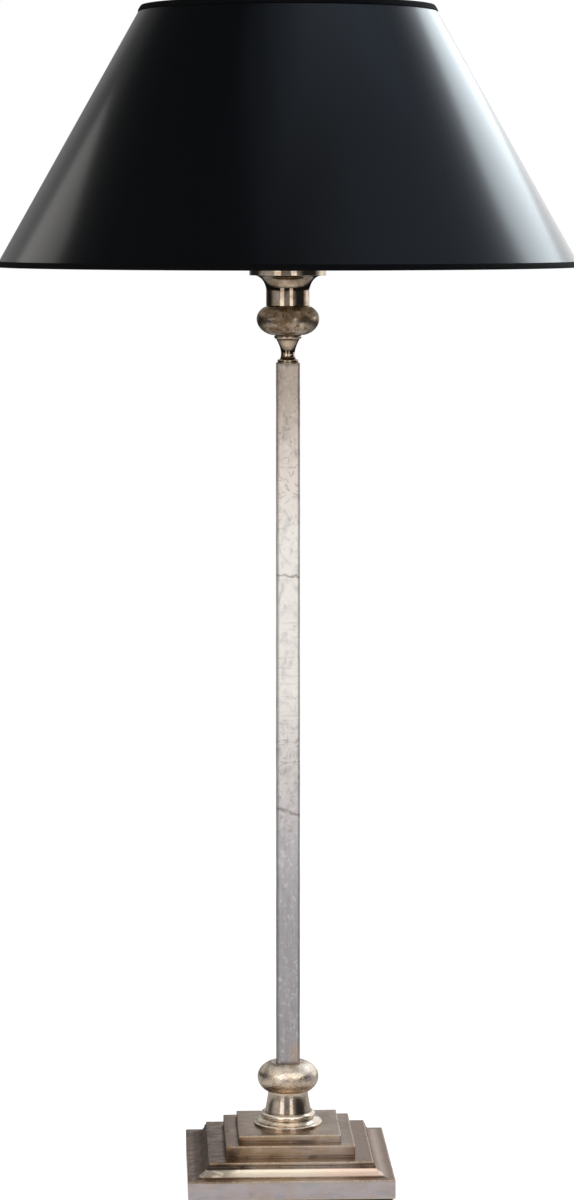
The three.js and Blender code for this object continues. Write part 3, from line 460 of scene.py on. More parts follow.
def piece(name, body, finish, shells, stands_for):
    """One object from its shells, with its finish, that rides on a body and stands for CAD nodes."""
    starts = np.cumsum([0] + [len(part["points"]) for part in shells])
    points = np.concatenate([part["points"] for part in shells])
    corners = np.concatenate([part["corners"] + start for part, start in zip(shells, starts)])
    uv = np.concatenate([part["uv"] for part in shells])
    used, corners = np.unique(corners, return_inverse=True)
    corners = corners.reshape(-1, 4)
    foot_pole = corners[:, 0] == corners[:, 1]
    top_pole = corners[:, 2] == corners[:, 3]
    kinds = [(~(foot_pole | top_pole), [0, 1, 2, 3]), (foot_pole, [0, 2, 3]), (top_pole, [0, 1, 2])]
    faces = [face for chosen, take in kinds for face in corners[chosen][:, take].tolist()]
    mesh = bpy.data.meshes.new(name)
    mesh.from_pydata(points[used], [], faces)
    flat_uv = np.concatenate([uv[chosen][:, take].reshape(-1, 2) for chosen, take in kinds])
    mesh.uv_layers.new(name="wrap").data.foreach_set("uv", flat_uv.astype(np.float32).ravel())
    for mark in sorted({key for part in shells for key in part["marks"]}):
        values = np.concatenate([part["marks"].get(mark, np.zeros(len(part["points"]))) for part in shells])
        mesh.attributes.new(mark, "FLOAT", "POINT").data.foreach_set("value", values[used].astype(np.float32))
    mesh.polygons.foreach_set("use_smooth", np.ones(len(faces), bool))
    mesh.set_sharp_from_angle(angle=SHARP_TURN)
    mesh.validate()
    made = bpy.data.objects.new(name, mesh)
    bpy.context.scene.collection.objects.link(made)
    mesh.materials.append(finish)
    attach(made, body)
    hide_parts(*stands_for)
    return made


def node_span(node):
    """A turned node's outer radius, foot and top. Its rim has a corner on the Y axis."""
    low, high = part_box(node)
    return -low.y, low.z, high.z


# Finishes

def tone(red, green, blue):
    """The linear colour that shows as these values from 0 to 255 on a screen."""
    shown = np.array([red, green, blue]) / 255
    linear = np.where(shown <= 0.04045, shown / 12.92, ((shown + 0.055) / 1.055) ** 2.4)
    return (*linear.tolist(), 1.0)


def both_ways(operation):
    """An operator of sockets and its reflected form, each as one Math node."""
    return (lambda socket, other: socket.math(operation, socket, other),
            lambda socket, other: socket.math(operation, other, socket))


class Socket:
    """One output of a node. Sums, differences and products with it add Math nodes."""

    def __init__(self, finish, output):
        self.finish = finish
        self.output = output

    def math(self, operation, first, second=0.0):
        return self.finish.node("ShaderNodeMath", {"operation": operation}, {0: first, 1: second})

    __add__, __radd__ = both_ways("ADD")
    __sub__, __rsub__ = both_ways("SUBTRACT")
    __mul__, __rmul__ = both_ways("MULTIPLY")

    def __abs__(self):
        return self.math("ABSOLUTE", self)

    def sine(self):
        return self.math("SINE", self)

    def ramp(self, low, high):
        """0 up to low, 1 from high on, and a smooth step between them."""
        reach = {"Value": self, "From Min": low, "From Max": high}
        return self.finish.node("ShaderNodeMapRange", {"interpolation_type": "SMOOTHSTEP"}, reach)


class Nodes:
    """A tree of shader nodes, filled by one method."""

    def __init__(self, tree):
        self.tree = tree
        self.tree.nodes.clear()

    def node(self, kind, settings=None, sockets=None, output=0):
        """Adds a node: first its settings, a ramp's stops among them, then its sockets' values or links."""
        made = self.tree.nodes.new(kind)
        for name, value in (settings or {}).items():
            if name == "stops":
                points = made.color_ramp.elements
                while len(points) < len(value):
                    points.new(1.0)
                for point, (position, colour) in zip(points, value):
                    point.position = position
                    point.color = colour
            else:
                setattr(made, name, value)
        for name, value in (sockets or {}).items():
            if isinstance(value, Socket):
                self.tree.links.new(value.output, made.inputs[name])
            else:
                made.inputs[name].default_value = value
        return Socket(self, made.outputs[output]) if made.outputs else None

    def mix(self, share, first, second):
        """A colour between two colours."""
        return self.node("ShaderNodeMix", {"data_type": "RGBA"}, {0: share, 6: first, 7: second}, output=2)

    def coated(self, colour, *coats):
        """A colour under coats, each of them a share from 0 to 1 and a colour of its own."""
        for share, coat in coats:
            colour = self.mix(share, colour, coat)
        return colour


class Finish(Nodes):
    """A material. Its patterns read Object coordinates, in metres, or a piece's own marks and UV map."""

    def __init__(self, name):
        self.made = bpy.data.materials.new(name)
        self.made.use_nodes = True
        super().__init__(self.made.node_tree)
        self.place = self.node("ShaderNodeTexCoord", output="Object")

    def axis(self, letter, source=None):
        return self.node("ShaderNodeSeparateXYZ", None, {0: source or self.place}, output=letter)

    def mark(self, name):
        return self.node("ShaderNodeAttribute", {"attribute_name": name}, output="Fac")

    def scaled(self, size, stretch=(1, 1, 1), shift=0.0):
        """Object coordinates in patches of a size, longer along an axis whose stretch is over 1."""
        scale = [1 / (size * longer) for longer in stretch]
        return self.node("ShaderNodeMapping", None,
                         {"Vector": self.place, "Scale": scale, "Location": (shift,) * 3})

    def cloud(self, size, detail=3.0, stretch=(1, 1, 1), twist=0.0, shift=0.0):
        """Soft noise about 0.5 in patches of a size, from 0.2 to 0.8 or so."""
        where = self.scaled(size, stretch, shift)
        return self.node("ShaderNodeTexNoise", None,
                         {"Vector": where, "Scale": 1.0, "Detail": detail, "Distortion": twist})

    def surface(self, colour, roughness, metallic=0.0, relief=None, depth=0.05 * MM, fixed=None, normal=None):
        """Ends the material: a relief from 0 to 1 is as deep as depth, in metres, or a normal is ready."""
        sockets = {"Base Color": colour, "Roughness": roughness, "Metallic": metallic, **(fixed or {})}
        if relief is not None:
            normal = self.node("ShaderNodeBump", None, {"Height": relief, "Distance": depth})
        if normal is not None:
            sockets["Normal"] = normal
        shader = self.node("ShaderNodeBsdfPrincipled", None, sockets)
        self.node("ShaderNodeOutputMaterial", None, {"Surface": shader})
        return self.made


# Tones of the worn silver and the casting, with their painted highlights and shade, and of the leaf with its
# painted shade
SILVER, LILAC_SILVER = tone(212, 196, 176), tone(196, 181, 184)
SILVER_BROWN, SILVER_DIRT = tone(112, 88, 64), tone(38, 27, 20)
# The last of these is a painted highlight for the shoulders of the turnings, standing in for light from
# above.
SILVER_EDGE, SILVER_PAINTED_HIGHLIGHT = tone(226, 214, 196), tone(246, 232, 212)
CAST_BROWN, CAST_LILAC = tone(168, 142, 114), tone(190, 182, 186)
# The last of these paints the casting's tops darker, as painted shade for the dark reflection of the
# lampshade above.
CAST_BLUE, CAST_PINK, CAST_TOP_SHADE = tone(158, 164, 176), tone(190, 164, 146), tone(138, 114, 92)
CAST_PALE, CAST_BRUSHED, CAST_EDGE = tone(206, 190, 172), tone(206, 196, 188), tone(208, 192, 170)
# Both of these are a painted highlight across the cove, for light from above.
COVE_HIGHLIGHT_CREAM, COVE_HIGHLIGHT_ROSE = tone(242, 228, 206), tone(244, 214, 194)
# The second of these darkens stains, creases and, as painted shade, the band under the low tier.
CAST_RUST, CAST_DIRT_AND_SHADE = tone(116, 82, 54), tone(50, 37, 28)
# Leaf tones up the column: partly its sheets and partly painted shade, darker at the top and foot.
LEAF_TONES_AND_SHADE = [(0.0, tone(153, 150, 152)), (0.22, tone(162, 160, 164)), (0.33, tone(192, 189, 192)),
              (0.42, tone(212, 207, 205)), (0.54, tone(238, 234, 230)), (0.76, tone(243, 239, 235)),
              (0.87, tone(230, 220, 212)), (0.95, tone(196, 181, 169))]
LEAF_GREY, LEAF_WHITE, LEAF_STREAK = tone(142, 138, 140), tone(246, 244, 243), tone(250, 248, 246)
LEAF_WRINKLE, LEAF_JOIN, LEAF_THUMBED = tone(122, 102, 90), tone(104, 90, 80), tone(176, 154, 138)
# Painted shade along the column's corners, for a dark reflection there.
LEAF_CORNER_SHADE = tone(96, 90, 90)


def silvered_brass(name, tarnish, mottle, gloss, seed, speckle=0.03 * MM, rubbed=0.4, soil=0.9, dull=0.2,
                   bloom=0.0):
    """Worn silver plate on brass: soft brown patches, dark creases, bright edges and fine lathe marks.

    Tarnish is the share of brown, mottle how much it varies, and speckle the depth of a fine hammered grain.
    Rubbed is how bright its edges are, soil how dark its creases, and dull how much rougher its brown is.
    Bloom is how far a painted highlight, pale and standing in for light from above, covers its shoulders.
    """
    f = Finish(name)
    patches = f.cloud(6 * MM, detail=4.0, twist=0.5, shift=seed)
    specks = f.cloud(1.2 * MM, detail=3.0, shift=seed)
    lilac = f.cloud(9 * MM, detail=2.0, shift=seed + 7)
    rings = f.cloud(0.5 * MM, detail=2.0, stretch=(20, 20, 1))
    edge, crease, up = f.mark("edge"), f.mark("crease"), f.mark("up")
    brown = tarnish + mottle * (patches.ramp(0.28, 0.72) - 0.5) + mottle * 0.4 * (specks.ramp(0.3, 0.7) - 0.5)
    brown = brown + crease * (0.8 * soil) - edge * (0.9 * rubbed)
    # Painted highlight: a pale colour on upward-facing shoulders, standing in for light from above, less
    # metallic under it.
    painted_highlight = up.ramp(0.3, 0.65) * up.ramp(1.0, 0.85) * (0.6 + 0.4 * patches.ramp(0.6, 0.45)) * bloom
    colour = f.coated(
        SILVER, (lilac.ramp(0.5, 0.75) * 0.7, LILAC_SILVER), (brown.ramp(0.0, 1.0), SILVER_BROWN),
        (crease.ramp(0.2, 1.0) * soil, SILVER_DIRT), (edge.ramp(0.6, 1.4) * rubbed, SILVER_EDGE),
        (painted_highlight, SILVER_PAINTED_HIGHLIGHT),
    )
    roughness = gloss + dull * brown.ramp(0.1, 1.0) + 0.06 * (rings - 0.5)
    relief = f.node("ShaderNodeBump", None, {"Height": specks, "Distance": speckle})
    relief = f.node("ShaderNodeBump", None, {"Height": rings * 0.5 + patches, "Distance": 0.03 * MM,
                                             "Normal": relief})
    metallic = (1.0 - 0.1 * brown.ramp(0.4, 1.2)) * (1 - 0.8 * painted_highlight)
    return f.surface(colour, roughness, metallic, normal=relief)


def cast_patina(name):
    """Antique silver on a casting: brown tiers with darker tops, and a painted highlight across the cove in
    front.

    The plinth is lilac-grey and brushed, rust gathers at the sides and most on the left, edges are rubbed
    pale here and there, and creases are dark with patina. The darker tops are painted shade for the dark
    reflection of the lampshade above, and the dark band under the low tier is painted shade.
    """
    f = Finish(name)
    across, height = f.axis("X"), f.axis("Z")
    broad = f.cloud(24 * MM, detail=4.0, twist=0.3)
    smudge = f.cloud(12 * MM, detail=5.0, twist=0.5, stretch=(1.6, 1, 1), shift=4)
    blot = f.cloud(5 * MM, detail=4.0, twist=0.8, stretch=(2, 1, 1), shift=9)
    fine = f.cloud(1.6 * MM, detail=3.0)
    brushed = f.cloud(0.7 * MM, detail=3.0, stretch=(14, 14, 1))
    edge, crease, up = f.mark("edge"), f.mark("crease"), f.mark("up")
    plinth = height.ramp(LIP_TOP - 0.3 * MM, LIP_TOP - 2 * MM)
    left = across.ramp(-20 * MM, -52 * MM) * (1 - plinth)
    right = across.ramp(28 * MM, 52 * MM) * (1 - plinth)
    front = f.axis("Y").ramp(-50 * MM, -56 * MM)
    # Level tops, which are painted darker below: painted shade for the dark reflection of the lampshade
    # above.
    tops = up.ramp(0.8, 0.99) * (1 - edge)
    cool = plinth * (0.75 + 0.25 * broad.ramp(0.35, 0.6))
    cool = cool + (1 - plinth) * 0.4 * (broad + across * 7).ramp(0.45, 0.75)
    # Painted highlight: the cove is painted pale, most in front, for light from above, and made less metallic
    # there.
    cove = height.ramp(LIP_TOP + 0.3 * MM, LIP_TOP + 1.1 * MM)
    cove = cove * height.ramp(COVE_TOP - 1.6 * MM, COVE_TOP - 2.4 * MM)
    cove_highlight = f.mix(across.ramp(0.0, 40 * MM), COVE_HIGHLIGHT_CREAM, COVE_HIGHLIGHT_ROSE)
    rust = smudge.ramp(0.45, 0.66) * (0.15 + 0.5 * across.ramp(0.0, -50 * MM)) + left * 0.9 + right * 0.75
    rust = (rust * (1 - plinth)).ramp(0.0, 1.0)
    # Painted shade: a dark band just under the low tier's edge.
    gap_shade = height.ramp(COVE_TOP - 2.6 * MM, COVE_TOP - 1.7 * MM) * height.ramp(COVE_TOP + 0.4 * MM, COVE_TOP)
    # Stains from smudges and blots, dark patina in the creases, and the band's painted shade.
    stain_and_shade = smudge.ramp(0.5, 0.3) * 0.3 * (1 - cove) + crease.ramp(0.1, 0.9) * 0.45 + gap_shade * 0.55
    stain_and_shade = (stain_and_shade + left * blot.ramp(0.35, 0.6) * 0.6).ramp(0.0, 1.0)
    rubbed = edge.ramp(0.3, 1.2) * (0.2 + 0.7 * fine.ramp(0.35, 0.65)) * (1 - 0.5 * left)
    colour = f.coated(
        CAST_BROWN, (cool, CAST_LILAC),
        (smudge.ramp(0.5, 0.64) * plinth * 0.5, CAST_BLUE), (blot.ramp(0.5, 0.66) * plinth * 0.4, CAST_PINK),
        (tops * (0.9 - 0.6 * smudge.ramp(0.42, 0.62)), CAST_TOP_SHADE),
        (blot.ramp(0.46, 0.3) * (0.4 - 0.2 * plinth), CAST_PALE),
        (cove * (0.3 + 0.65 * front), cove_highlight), (brushed.ramp(0.35, 0.7) * 0.2 * (1 - tops), CAST_BRUSHED),
        (rust * (0.92 - 0.8 * cove * front), CAST_RUST), (stain_and_shade, CAST_DIRT_AND_SHADE), (rubbed, CAST_EDGE),
    )
    roughness = 0.34 + 0.14 * fine * (1 - tops) + 0.12 * stain_and_shade - 0.1 * rubbed - 0.08 * tops
    relief = brushed * 0.4 * (1 - tops) + broad * 0.4 + blot * 0.3 + fine * 0.1
    # Less metallic under the cove's painted highlight.
    metallic = 0.92 - 0.3 * stain_and_shade - 0.1 * tops - 0.6 * cove * front
    return f.surface(colour, roughness, metallic, relief, 0.05 * MM)


def silver_leaf(name):
    """Silver leaf laid in sheets up the column, beige above, pale in the middle and grey below, with painted
    shade darkening the top and the foot.

    Worm-like wrinkles swirl over the top, wisps of grey and white drift over the rest, thin lines run across
    the middle, and dark irregular joins show where sheets meet.
    """
    f = Finish(name)
    height, across = f.axis("Z"), f.axis("X")
    drift = f.cloud(14 * MM, detail=3.0, stretch=(1, 1, 2))
    wisps = f.cloud(7 * MM, detail=6.0, twist=0.8, stretch=(1, 1, 1.5))
    flecks = f.cloud(2.2 * MM, detail=4.0, twist=0.6, stretch=(1, 1, 1.6), shift=11)
    worms = abs(f.cloud(8 * MM, detail=0.6, twist=1.5, shift=3) - 0.5)
    grain = f.cloud(0.5 * MM, detail=2.0, stretch=(1, 1, 9))
    streaks = f.cloud(1.6 * MM, detail=2.0, stretch=(1, 1, 18), shift=6)
    level = f.node("ShaderNodeMapRange", None, {"Value": height + (drift - 0.5) * 0.03,
                                               "From Min": LEAF_LOW, "From Max": LEAF_HIGH})
    # Tones up the column: the leaf's sheets, and painted shade that darkens the top and the foot where less
    # light falls.
    sheets = f.node("ShaderNodeValToRGB", {"stops": LEAF_TONES_AND_SHADE}, {0: level}, output="Color")
    top = height.ramp(0.4, 0.5) * 0.9 + height.ramp(0.2, 0.26) * height.ramp(0.32, 0.3) * 0.8 + 0.18
    torn = f.cloud(4 * MM, detail=3.0, shift=17).ramp(0.42, 0.6)
    swirls = worms.ramp(0.075, 0.0) * top * torn
    lines = f.cloud(1.3 * MM, detail=3.0, stretch=(14, 14, 1), shift=5).ramp(0.56, 0.68)
    middle = height.ramp(0.27, 0.3) * height.ramp(0.44, 0.38)
    joins = lines * middle * 0.35
    for place, slant, width in LEAF_JOINS:
        wobble = (f.cloud(5 * MM, detail=3.0, twist=0.4, shift=place * 90) - 0.5) * 5 * MM
        broken = f.cloud(6 * MM, detail=4.0, shift=place * 50).ramp(0.38, 0.55)
        joins = abs(height - place + across * slant + wobble).ramp(width, 0.0) * broken + joins
    dark = joins.ramp(0.0, 1.0)
    thumbed = across.ramp(-2 * MM, 5 * MM) * height.ramp(98 * MM, 90 * MM) * wisps.ramp(0.3, 0.5)
    colour = f.coated(
        sheets, (wisps.ramp(0.45, 0.75) * 0.42, LEAF_GREY), (flecks.ramp(0.46, 0.3) * 0.25, LEAF_WHITE),
        (streaks.ramp(0.5, 0.7) * 0.08, LEAF_STREAK), (swirls * 0.42, LEAF_WRINKLE), (dark * 0.65, LEAF_JOIN),
        # The corners are painted darker: painted shade for a dark reflection along them.
        (thumbed * 0.6, LEAF_THUMBED), (f.mark("edge").ramp(0.2, 1.0) * 0.4, LEAF_CORNER_SHADE),
    )
    relief = wisps * 0.6 + grain * 0.25 - swirls * 0.5 - dark * 0.6
    return f.surface(colour, 0.4 + 0.14 * wisps + 0.1 * dark, 0.45 - 0.3 * dark, relief, 0.05 * MM)


def shade_card(name):
    """Black card under a satin film outside, and a pale paper lining inside."""
    f = Finish(name)
    lining = f.mark("lining")
    fibre = f.cloud(0.7 * MM, detail=3.0)
    flow = f.cloud(60 * MM, detail=2.0)
    black = f.mix(flow, tone(1, 4, 9), tone(3, 6, 12))
    paper = f.mix(fibre, tone(226, 220, 204), tone(240, 235, 222))
    colour = f.mix(lining, black, paper)
    roughness = (0.4 + 0.06 * (fibre - 0.5)) * (1 - lining) + lining * 0.85
    relief = fibre * 0.6 + flow * 0.4
    fixed = {"Coat Weight": 1 - lining, "Coat Roughness": 0.2, "Coat IOR": 1.5, "Specular IOR Level": 0.12}
    return f.surface(colour, roughness, 0.0, relief, 0.012 * MM, fixed)


def woven_tape(name):
    """Black bias tape: fine ribs that slant round the rim, crossed by threads along it."""
    f = Finish(name)
    wrap = f.node("ShaderNodeUVMap", {"uv_map": "wrap"})
    turn, along = f.axis("X", wrap), f.axis("Y", wrap)
    ribs = (turn * (FULL_TURN * TAPE_RIBS) + along * (FULL_TURN / (0.9 * MM))).sine() * 0.5 + 0.5
    threads = (along * (FULL_TURN / (0.5 * MM))).sine() * 0.5 + 0.5
    fuzz = f.cloud(0.6 * MM)
    colour = f.mix(ribs * 0.6 + fuzz * 0.3, tone(3, 3, 5), tone(14, 14, 17))
    return f.surface(colour, 0.72 + 0.15 * fuzz, 0.0, ribs * 0.6 + threads * 0.4, 0.08 * MM,
                     {"Specular IOR Level": 0.15})


def plain_metal(name, light, dark, roughness, patch=8 * MM, stretch=(1, 1, 1), depth=0.01 * MM):
    """Bare or plated metal: patches of two tones, fine streaks and creases darkened as painted shade."""
    f = Finish(name)
    patches, fine = f.cloud(patch, detail=4.0), f.cloud(0.6 * MM, stretch=stretch)
    colour = f.mix(patches.ramp(0.35, 0.65), light, dark)
    # Painted shade: the creases are darkened.
    colour = f.mix(f.mark("crease").ramp(0.3, 1.2) * 0.6, colour, tone(50, 42, 34))
    return f.surface(colour, roughness + 0.14 * (patches - 0.5) + 0.12 * (fine - 0.5), 1.0, fine, depth)


def plain_coat(name, light, dark, roughness, patch=5 * MM, depth=0.02 * MM, grain=0.5 * MM, fixed=None):
    """A surface that isn't metal: patches of two tones over a fine grain."""
    f = Finish(name)
    patches, fine = f.cloud(patch, detail=4.0), f.cloud(grain)
    colour = f.mix(patches.ramp(0.35, 0.65) * 0.6 + fine.ramp(0.35, 0.65) * 0.4, light, dark)
    return f.surface(colour, roughness + 0.1 * (fine - 0.5), 0.0, fine * 0.6 + patches * 0.4, depth, fixed)


# Heights and radii that the frame gives

casting_low, casting_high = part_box("base_casting")
PLINTH_HALF = casting_high.x
CASTING_FOOT, BASE_TOP = casting_low.z, casting_high.z
LIP_TOP = CASTING_FOOT + LIP_HEIGHT
COVE_TOP = LIP_TOP + COVE_HEIGHT
LOW_TOP = COVE_TOP + LOW_TIER
MID_TOP = LOW_TOP + MID_TIER
RING_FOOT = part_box("shade_ring")[0].z
FITTER_TOP = RING_FOOT - SEAT_GAP
FITTER_FOOT = FITTER_TOP - FITTER_THICK
SHADE_FOOT, SHADE_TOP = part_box("bottom_trim")[0].z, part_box("top_trim")[1].z


# The base

def roundness_of(profile, inner, outer):
    """Roundness for a profile carried round a square: 1 within the inner half size, 0 beyond the outer."""
    return np.clip((outer - profile[:, 0]) / (outer - inner), 0, 1)


def casting_profile():
    """The outside of the casting up over its cove and tiers to the rod's hole, then its hollow back down."""
    cove_outer = PLINTH_HALF - LIP_WIDTH
    low_half = cove_outer - COVE_DEPTH - COVE_STEP
    hollow_half = PLINTH_HALF - PLINTH_WALL
    return outline(
        [PLINTH_HALF, CASTING_FOOT], [PLINTH_HALF, LIP_TOP],
        arc([cove_outer, COVE_TOP], [COVE_DEPTH, COVE_HEIGHT], 270, 180, 22),
        [low_half, COVE_TOP], [low_half, LOW_TOP],
        [MID_TIER_HALF, LOW_TOP], [MID_TIER_HALF, MID_TOP],
        [TOP_TIER_HALF, MID_TOP], [TOP_TIER_HALF, BASE_TOP],
        [BORE_RADIUS, BASE_TOP], [BORE_RADIUS, BASE_TOP - ROOF_WALL],
        np.array([[TOP_TIER_HALF, BASE_TOP], [TOP_TIER_HALF, MID_TOP], [MID_TIER_HALF, MID_TOP],
                  [MID_TIER_HALF, LOW_TOP], [low_half, LOW_TOP], [low_half, COVE_TOP]]) - ROOF_WALL,
        [cove_outer - ROOF_WALL, LIP_TOP - PLINTH_WALL], [hollow_half, LIP_TOP - PLINTH_WALL],
        [hollow_half, CASTING_FOOT],
    )


def stepped_base():
    """The casting: its profile carried round a square, with tier edges that wander a little, and four posts.

    A row is scaled by 1 + wander / half size and lifted by its own wander, more on the upper tiers, and
    not at all under the column's foot.
    """
    profile = eased(casting_profile(), TIER_EDGE * 0.7, 1.1 * MM)
    path = square_round(44, 7)
    columns = len(path[0])
    points = squared(profile, CASTING_CORNER, roundness_of(profile, *CASTING_ROUND), path)
    turns = even_turns(columns)
    half, height = profile[:, 0], profile[:, 1]
    amount = np.interp(height, [LIP_TOP, COVE_TOP, BASE_TOP], WANDER)
    amount = amount * np.clip((half - WANDER_START) / WANDER_WIDTH, 0, 1)
    tier = np.searchsorted([LIP_TOP + 1 * MM, LOW_TOP + 1 * MM, MID_TOP + 1 * MM], height)
    wander = np.stack([waves(turns, seed, count=26) for seed in (3, 5, 8, 13)])[tier]
    lift = np.stack([waves(turns, seed, count=7) for seed in (21, 34, 55, 89)])[tier]
    points[..., :2] *= (1 + amount[:, None] * wander / half[:, None])[..., None]
    above = np.clip((height - LIP_TOP) / (3 * MM), 0, 1)
    points[..., 2] += LIFT_SHARE * amount[:, None] * lift * above[:, None]
    shells = [shell(points, **worn(profile, reach=0.8 * MM))]
    post = turned(band(0, POST_RADIUS, COVER_TOP, POST_TOP), even_turns(24))
    shells += [shell(post + [x * POST_PLACE, y * POST_PLACE, 0], closed=False) for x, y in CORNERS]
    made = piece("stepped_base", "lamp_stand", cast_patina("cast_patina"), shells,
                 ["base_casting"])
    bush_low, bush_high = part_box("cord_bush")
    bush_height = (bush_low.z + bush_high.z) / 2
    bore(made, [0, PLINTH_HALF - 2 * PLINTH_WALL, bush_height], [0, PLINTH_HALF + PLINTH_WALL, bush_height],
         INLET_RADIUS)
    return made


def bore(made, start, end, radius):
    """Cuts a round hole along a line through a piece, with a bar that is then thrown away."""
    start, end = np.array(start), np.array(end)
    length = np.linalg.norm(end - start)
    points = turned(band(0, radius, 0, length), even_turns(40))
    along = (end - start) / length
    aside = np.array([0, 0, 1.0])
    frame_axes = np.stack([aside, np.cross(along, aside), along])
    cutter_mesh = bpy.data.meshes.new("bar")
    part = shell(points @ frame_axes + start, closed=False)
    used, corners = np.unique(part["corners"], return_inverse=True)
    faces = [list(dict.fromkeys(face)) for face in corners.reshape(-1, 4).tolist()]
    cutter_mesh.from_pydata(part["points"][used], [], faces)
    cutter = bpy.data.objects.new("bar", cutter_mesh)
    bpy.context.scene.collection.objects.link(cutter)
    hole = made.modifiers.new("hole", "BOOLEAN")
    hole.object = cutter
    hole.solver = "EXACT"
    solid = bpy.data.meshes.new_from_object(made.evaluated_get(bpy.context.evaluated_depsgraph_get()))
    made.modifiers.remove(hole)
    made.data = solid
    bpy.data.objects.remove(cutter)


def felt_foot():
    """The felt: a flat pad with soft edges that waver by a fraction of a millimetre."""
    low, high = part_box("felt_pad")
    profile = eased(band(0, high.x, low.z, high.z), FELT_EDGE, 2.5 * MM, closed=False)
    path = square_round(40, 8)
    points = squared(profile, FELT_CORNER, roundness_of(profile, *FELT_ROUND), path)
    edge = np.clip((profile[:, 0] - FELT_WAVER_START) / FELT_WAVER_WIDTH, 0, 1)[:, None]
    scale = 1 - FELT_WAVER * edge * (1 + waves(even_turns(len(path[0])), 4, count=40)) / high.x
    points[..., :2] *= scale[..., None]
    felt = plain_coat("wool_felt", tone(30, 40, 34), tone(52, 64, 56), 0.95, 4 * MM, 0.25 * MM, 0.4 * MM)
    return piece("felt_foot", "lamp_stand", felt, [shell(points, closed=False)], ["felt_pad"])


def inlet_bush(plastic):
    """The inlet's bush: a turning laid on its side in the back wall, its rounded flange outside."""
    low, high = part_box("cord_bush")
    flange, middle = (high.z - low.z) / 2, (high.z + low.z) / 2
    tail, face = low.y - PLINTH_HALF, high.y - PLINTH_HALF
    profile = outline([BUSH_BORE, tail], [BUSH_RADIUS, tail], [BUSH_RADIUS, 0], [flange, 0],
                      [flange, face / 2], [BUSH_RADIUS, face], [BUSH_BORE, face])
    profile = eased(profile, 0.5 * MM, 0.4 * MM)
    upright = turned(profile, even_turns(64))
    points = upright[..., [0, 2, 1]] * [1, 1, -1] + [0, PLINTH_HALF, middle]
    return piece("inlet_bush", "lamp_stand", plastic, [shell(points)], ["cord_bush"])


# The column

def turning(name, node, profile, finish, rounding=0.22 * MM, step=0.6 * MM,
            body="lamp_stand", columns=FINE, closed=True, dents=0.0, seed=1):
    """A profile softened, refined and turned round the lamp's axis, in place of a CAD node.

    Dents push each point out by cosines of its angle and height together, so that the surface isn't even.
    """
    rows = eased(profile, rounding, step, closed)
    turns = even_turns(columns)
    points = turned(rows, turns)
    if dents:
        rng = np.random.default_rng(seed)
        waves_round = rng.integers(2, 9, 14)
        waves_up = rng.uniform(-500, 500, 14)
        phase = rng.uniform(0, FULL_TURN, 14)
        turn = waves_round * turns[:, None] + phase
        uneven = np.cos(turn[None] + (rows[:, 1, None] * waves_up)[:, None]).mean(axis=-1)
        outside = (rows[:, 0] > KNOB_CORE)[:, None]
        points = pushed_out(points, dents * uneven * outside)
    return piece(name, body, finish, [shell(points, closed, **worn(rows, closed=closed))], [node])


def foot_profile():
    """The column's foot: a flange, a skirt in to a bead, and a flare up to a straight stem."""
    flange, foot, top = node_span("lower_bell")
    half = BEAD_THICK / 2
    bead_foot = foot + SKIRT_HEIGHT
    root = BEAD_RADIUS - half
    bead_top = bead_foot + BEAD_THICK
    flare_top = top - STEM_STRAIGHT
    rise = flare_top - bead_top
    return outline(
        [BORE_RADIUS, foot], [flange, foot], [flange, foot + FLANGE_EDGE],
        sweep([flange - FLANGE_EDGE / 2, foot + FLANGE_EDGE * 1.5],
              [root + BEAD_THICK, foot + SKIRT_HEIGHT / 2],
              [root + half, bead_foot - FLANGE_EDGE / 2], [root, bead_foot], 10),
        arc([root, bead_foot + half], [half, half], -65, 0, 6),
        arc([FLARE_RADIUS, bead_foot + half], [BEAD_RADIUS - FLARE_RADIUS, half * 1.3], 0, 90, 12),
        sweep([FLARE_RADIUS - BEAD_EASE, bead_top + BEAD_EASE],
              [FLARE_RADIUS - 3 * BEAD_EASE, bead_top + rise / 3],
              [STEM_RADIUS + BEAD_EASE, flare_top - rise / 3], [STEM_RADIUS, flare_top], 16),
        [STEM_RADIUS, top], [BORE_RADIUS, top],
    )


def knob_profile(node, equator, foot_radius, top_radius):
    """A flattened ball: two quarter ellipses that meet at its widest and end at the radii of its flats."""
    radius, foot, top = node_span(node)
    reach = radius - KNOB_CORE

    def half(rise, end_radius):
        share = (end_radius - KNOB_CORE) / reach
        return rise / math.sqrt(1 - share**2), math.degrees(math.acos(share))

    low_tall, low_angle = half(equator, foot_radius)
    high_tall, high_angle = half(top - foot - equator, top_radius)
    centre = [KNOB_CORE, foot + equator]
    return outline([BORE_RADIUS, foot], arc(centre, [reach, low_tall], -low_angle, 0, 20),
                   arc(centre, [reach, high_tall], 0, high_angle, 20), [BORE_RADIUS, top])


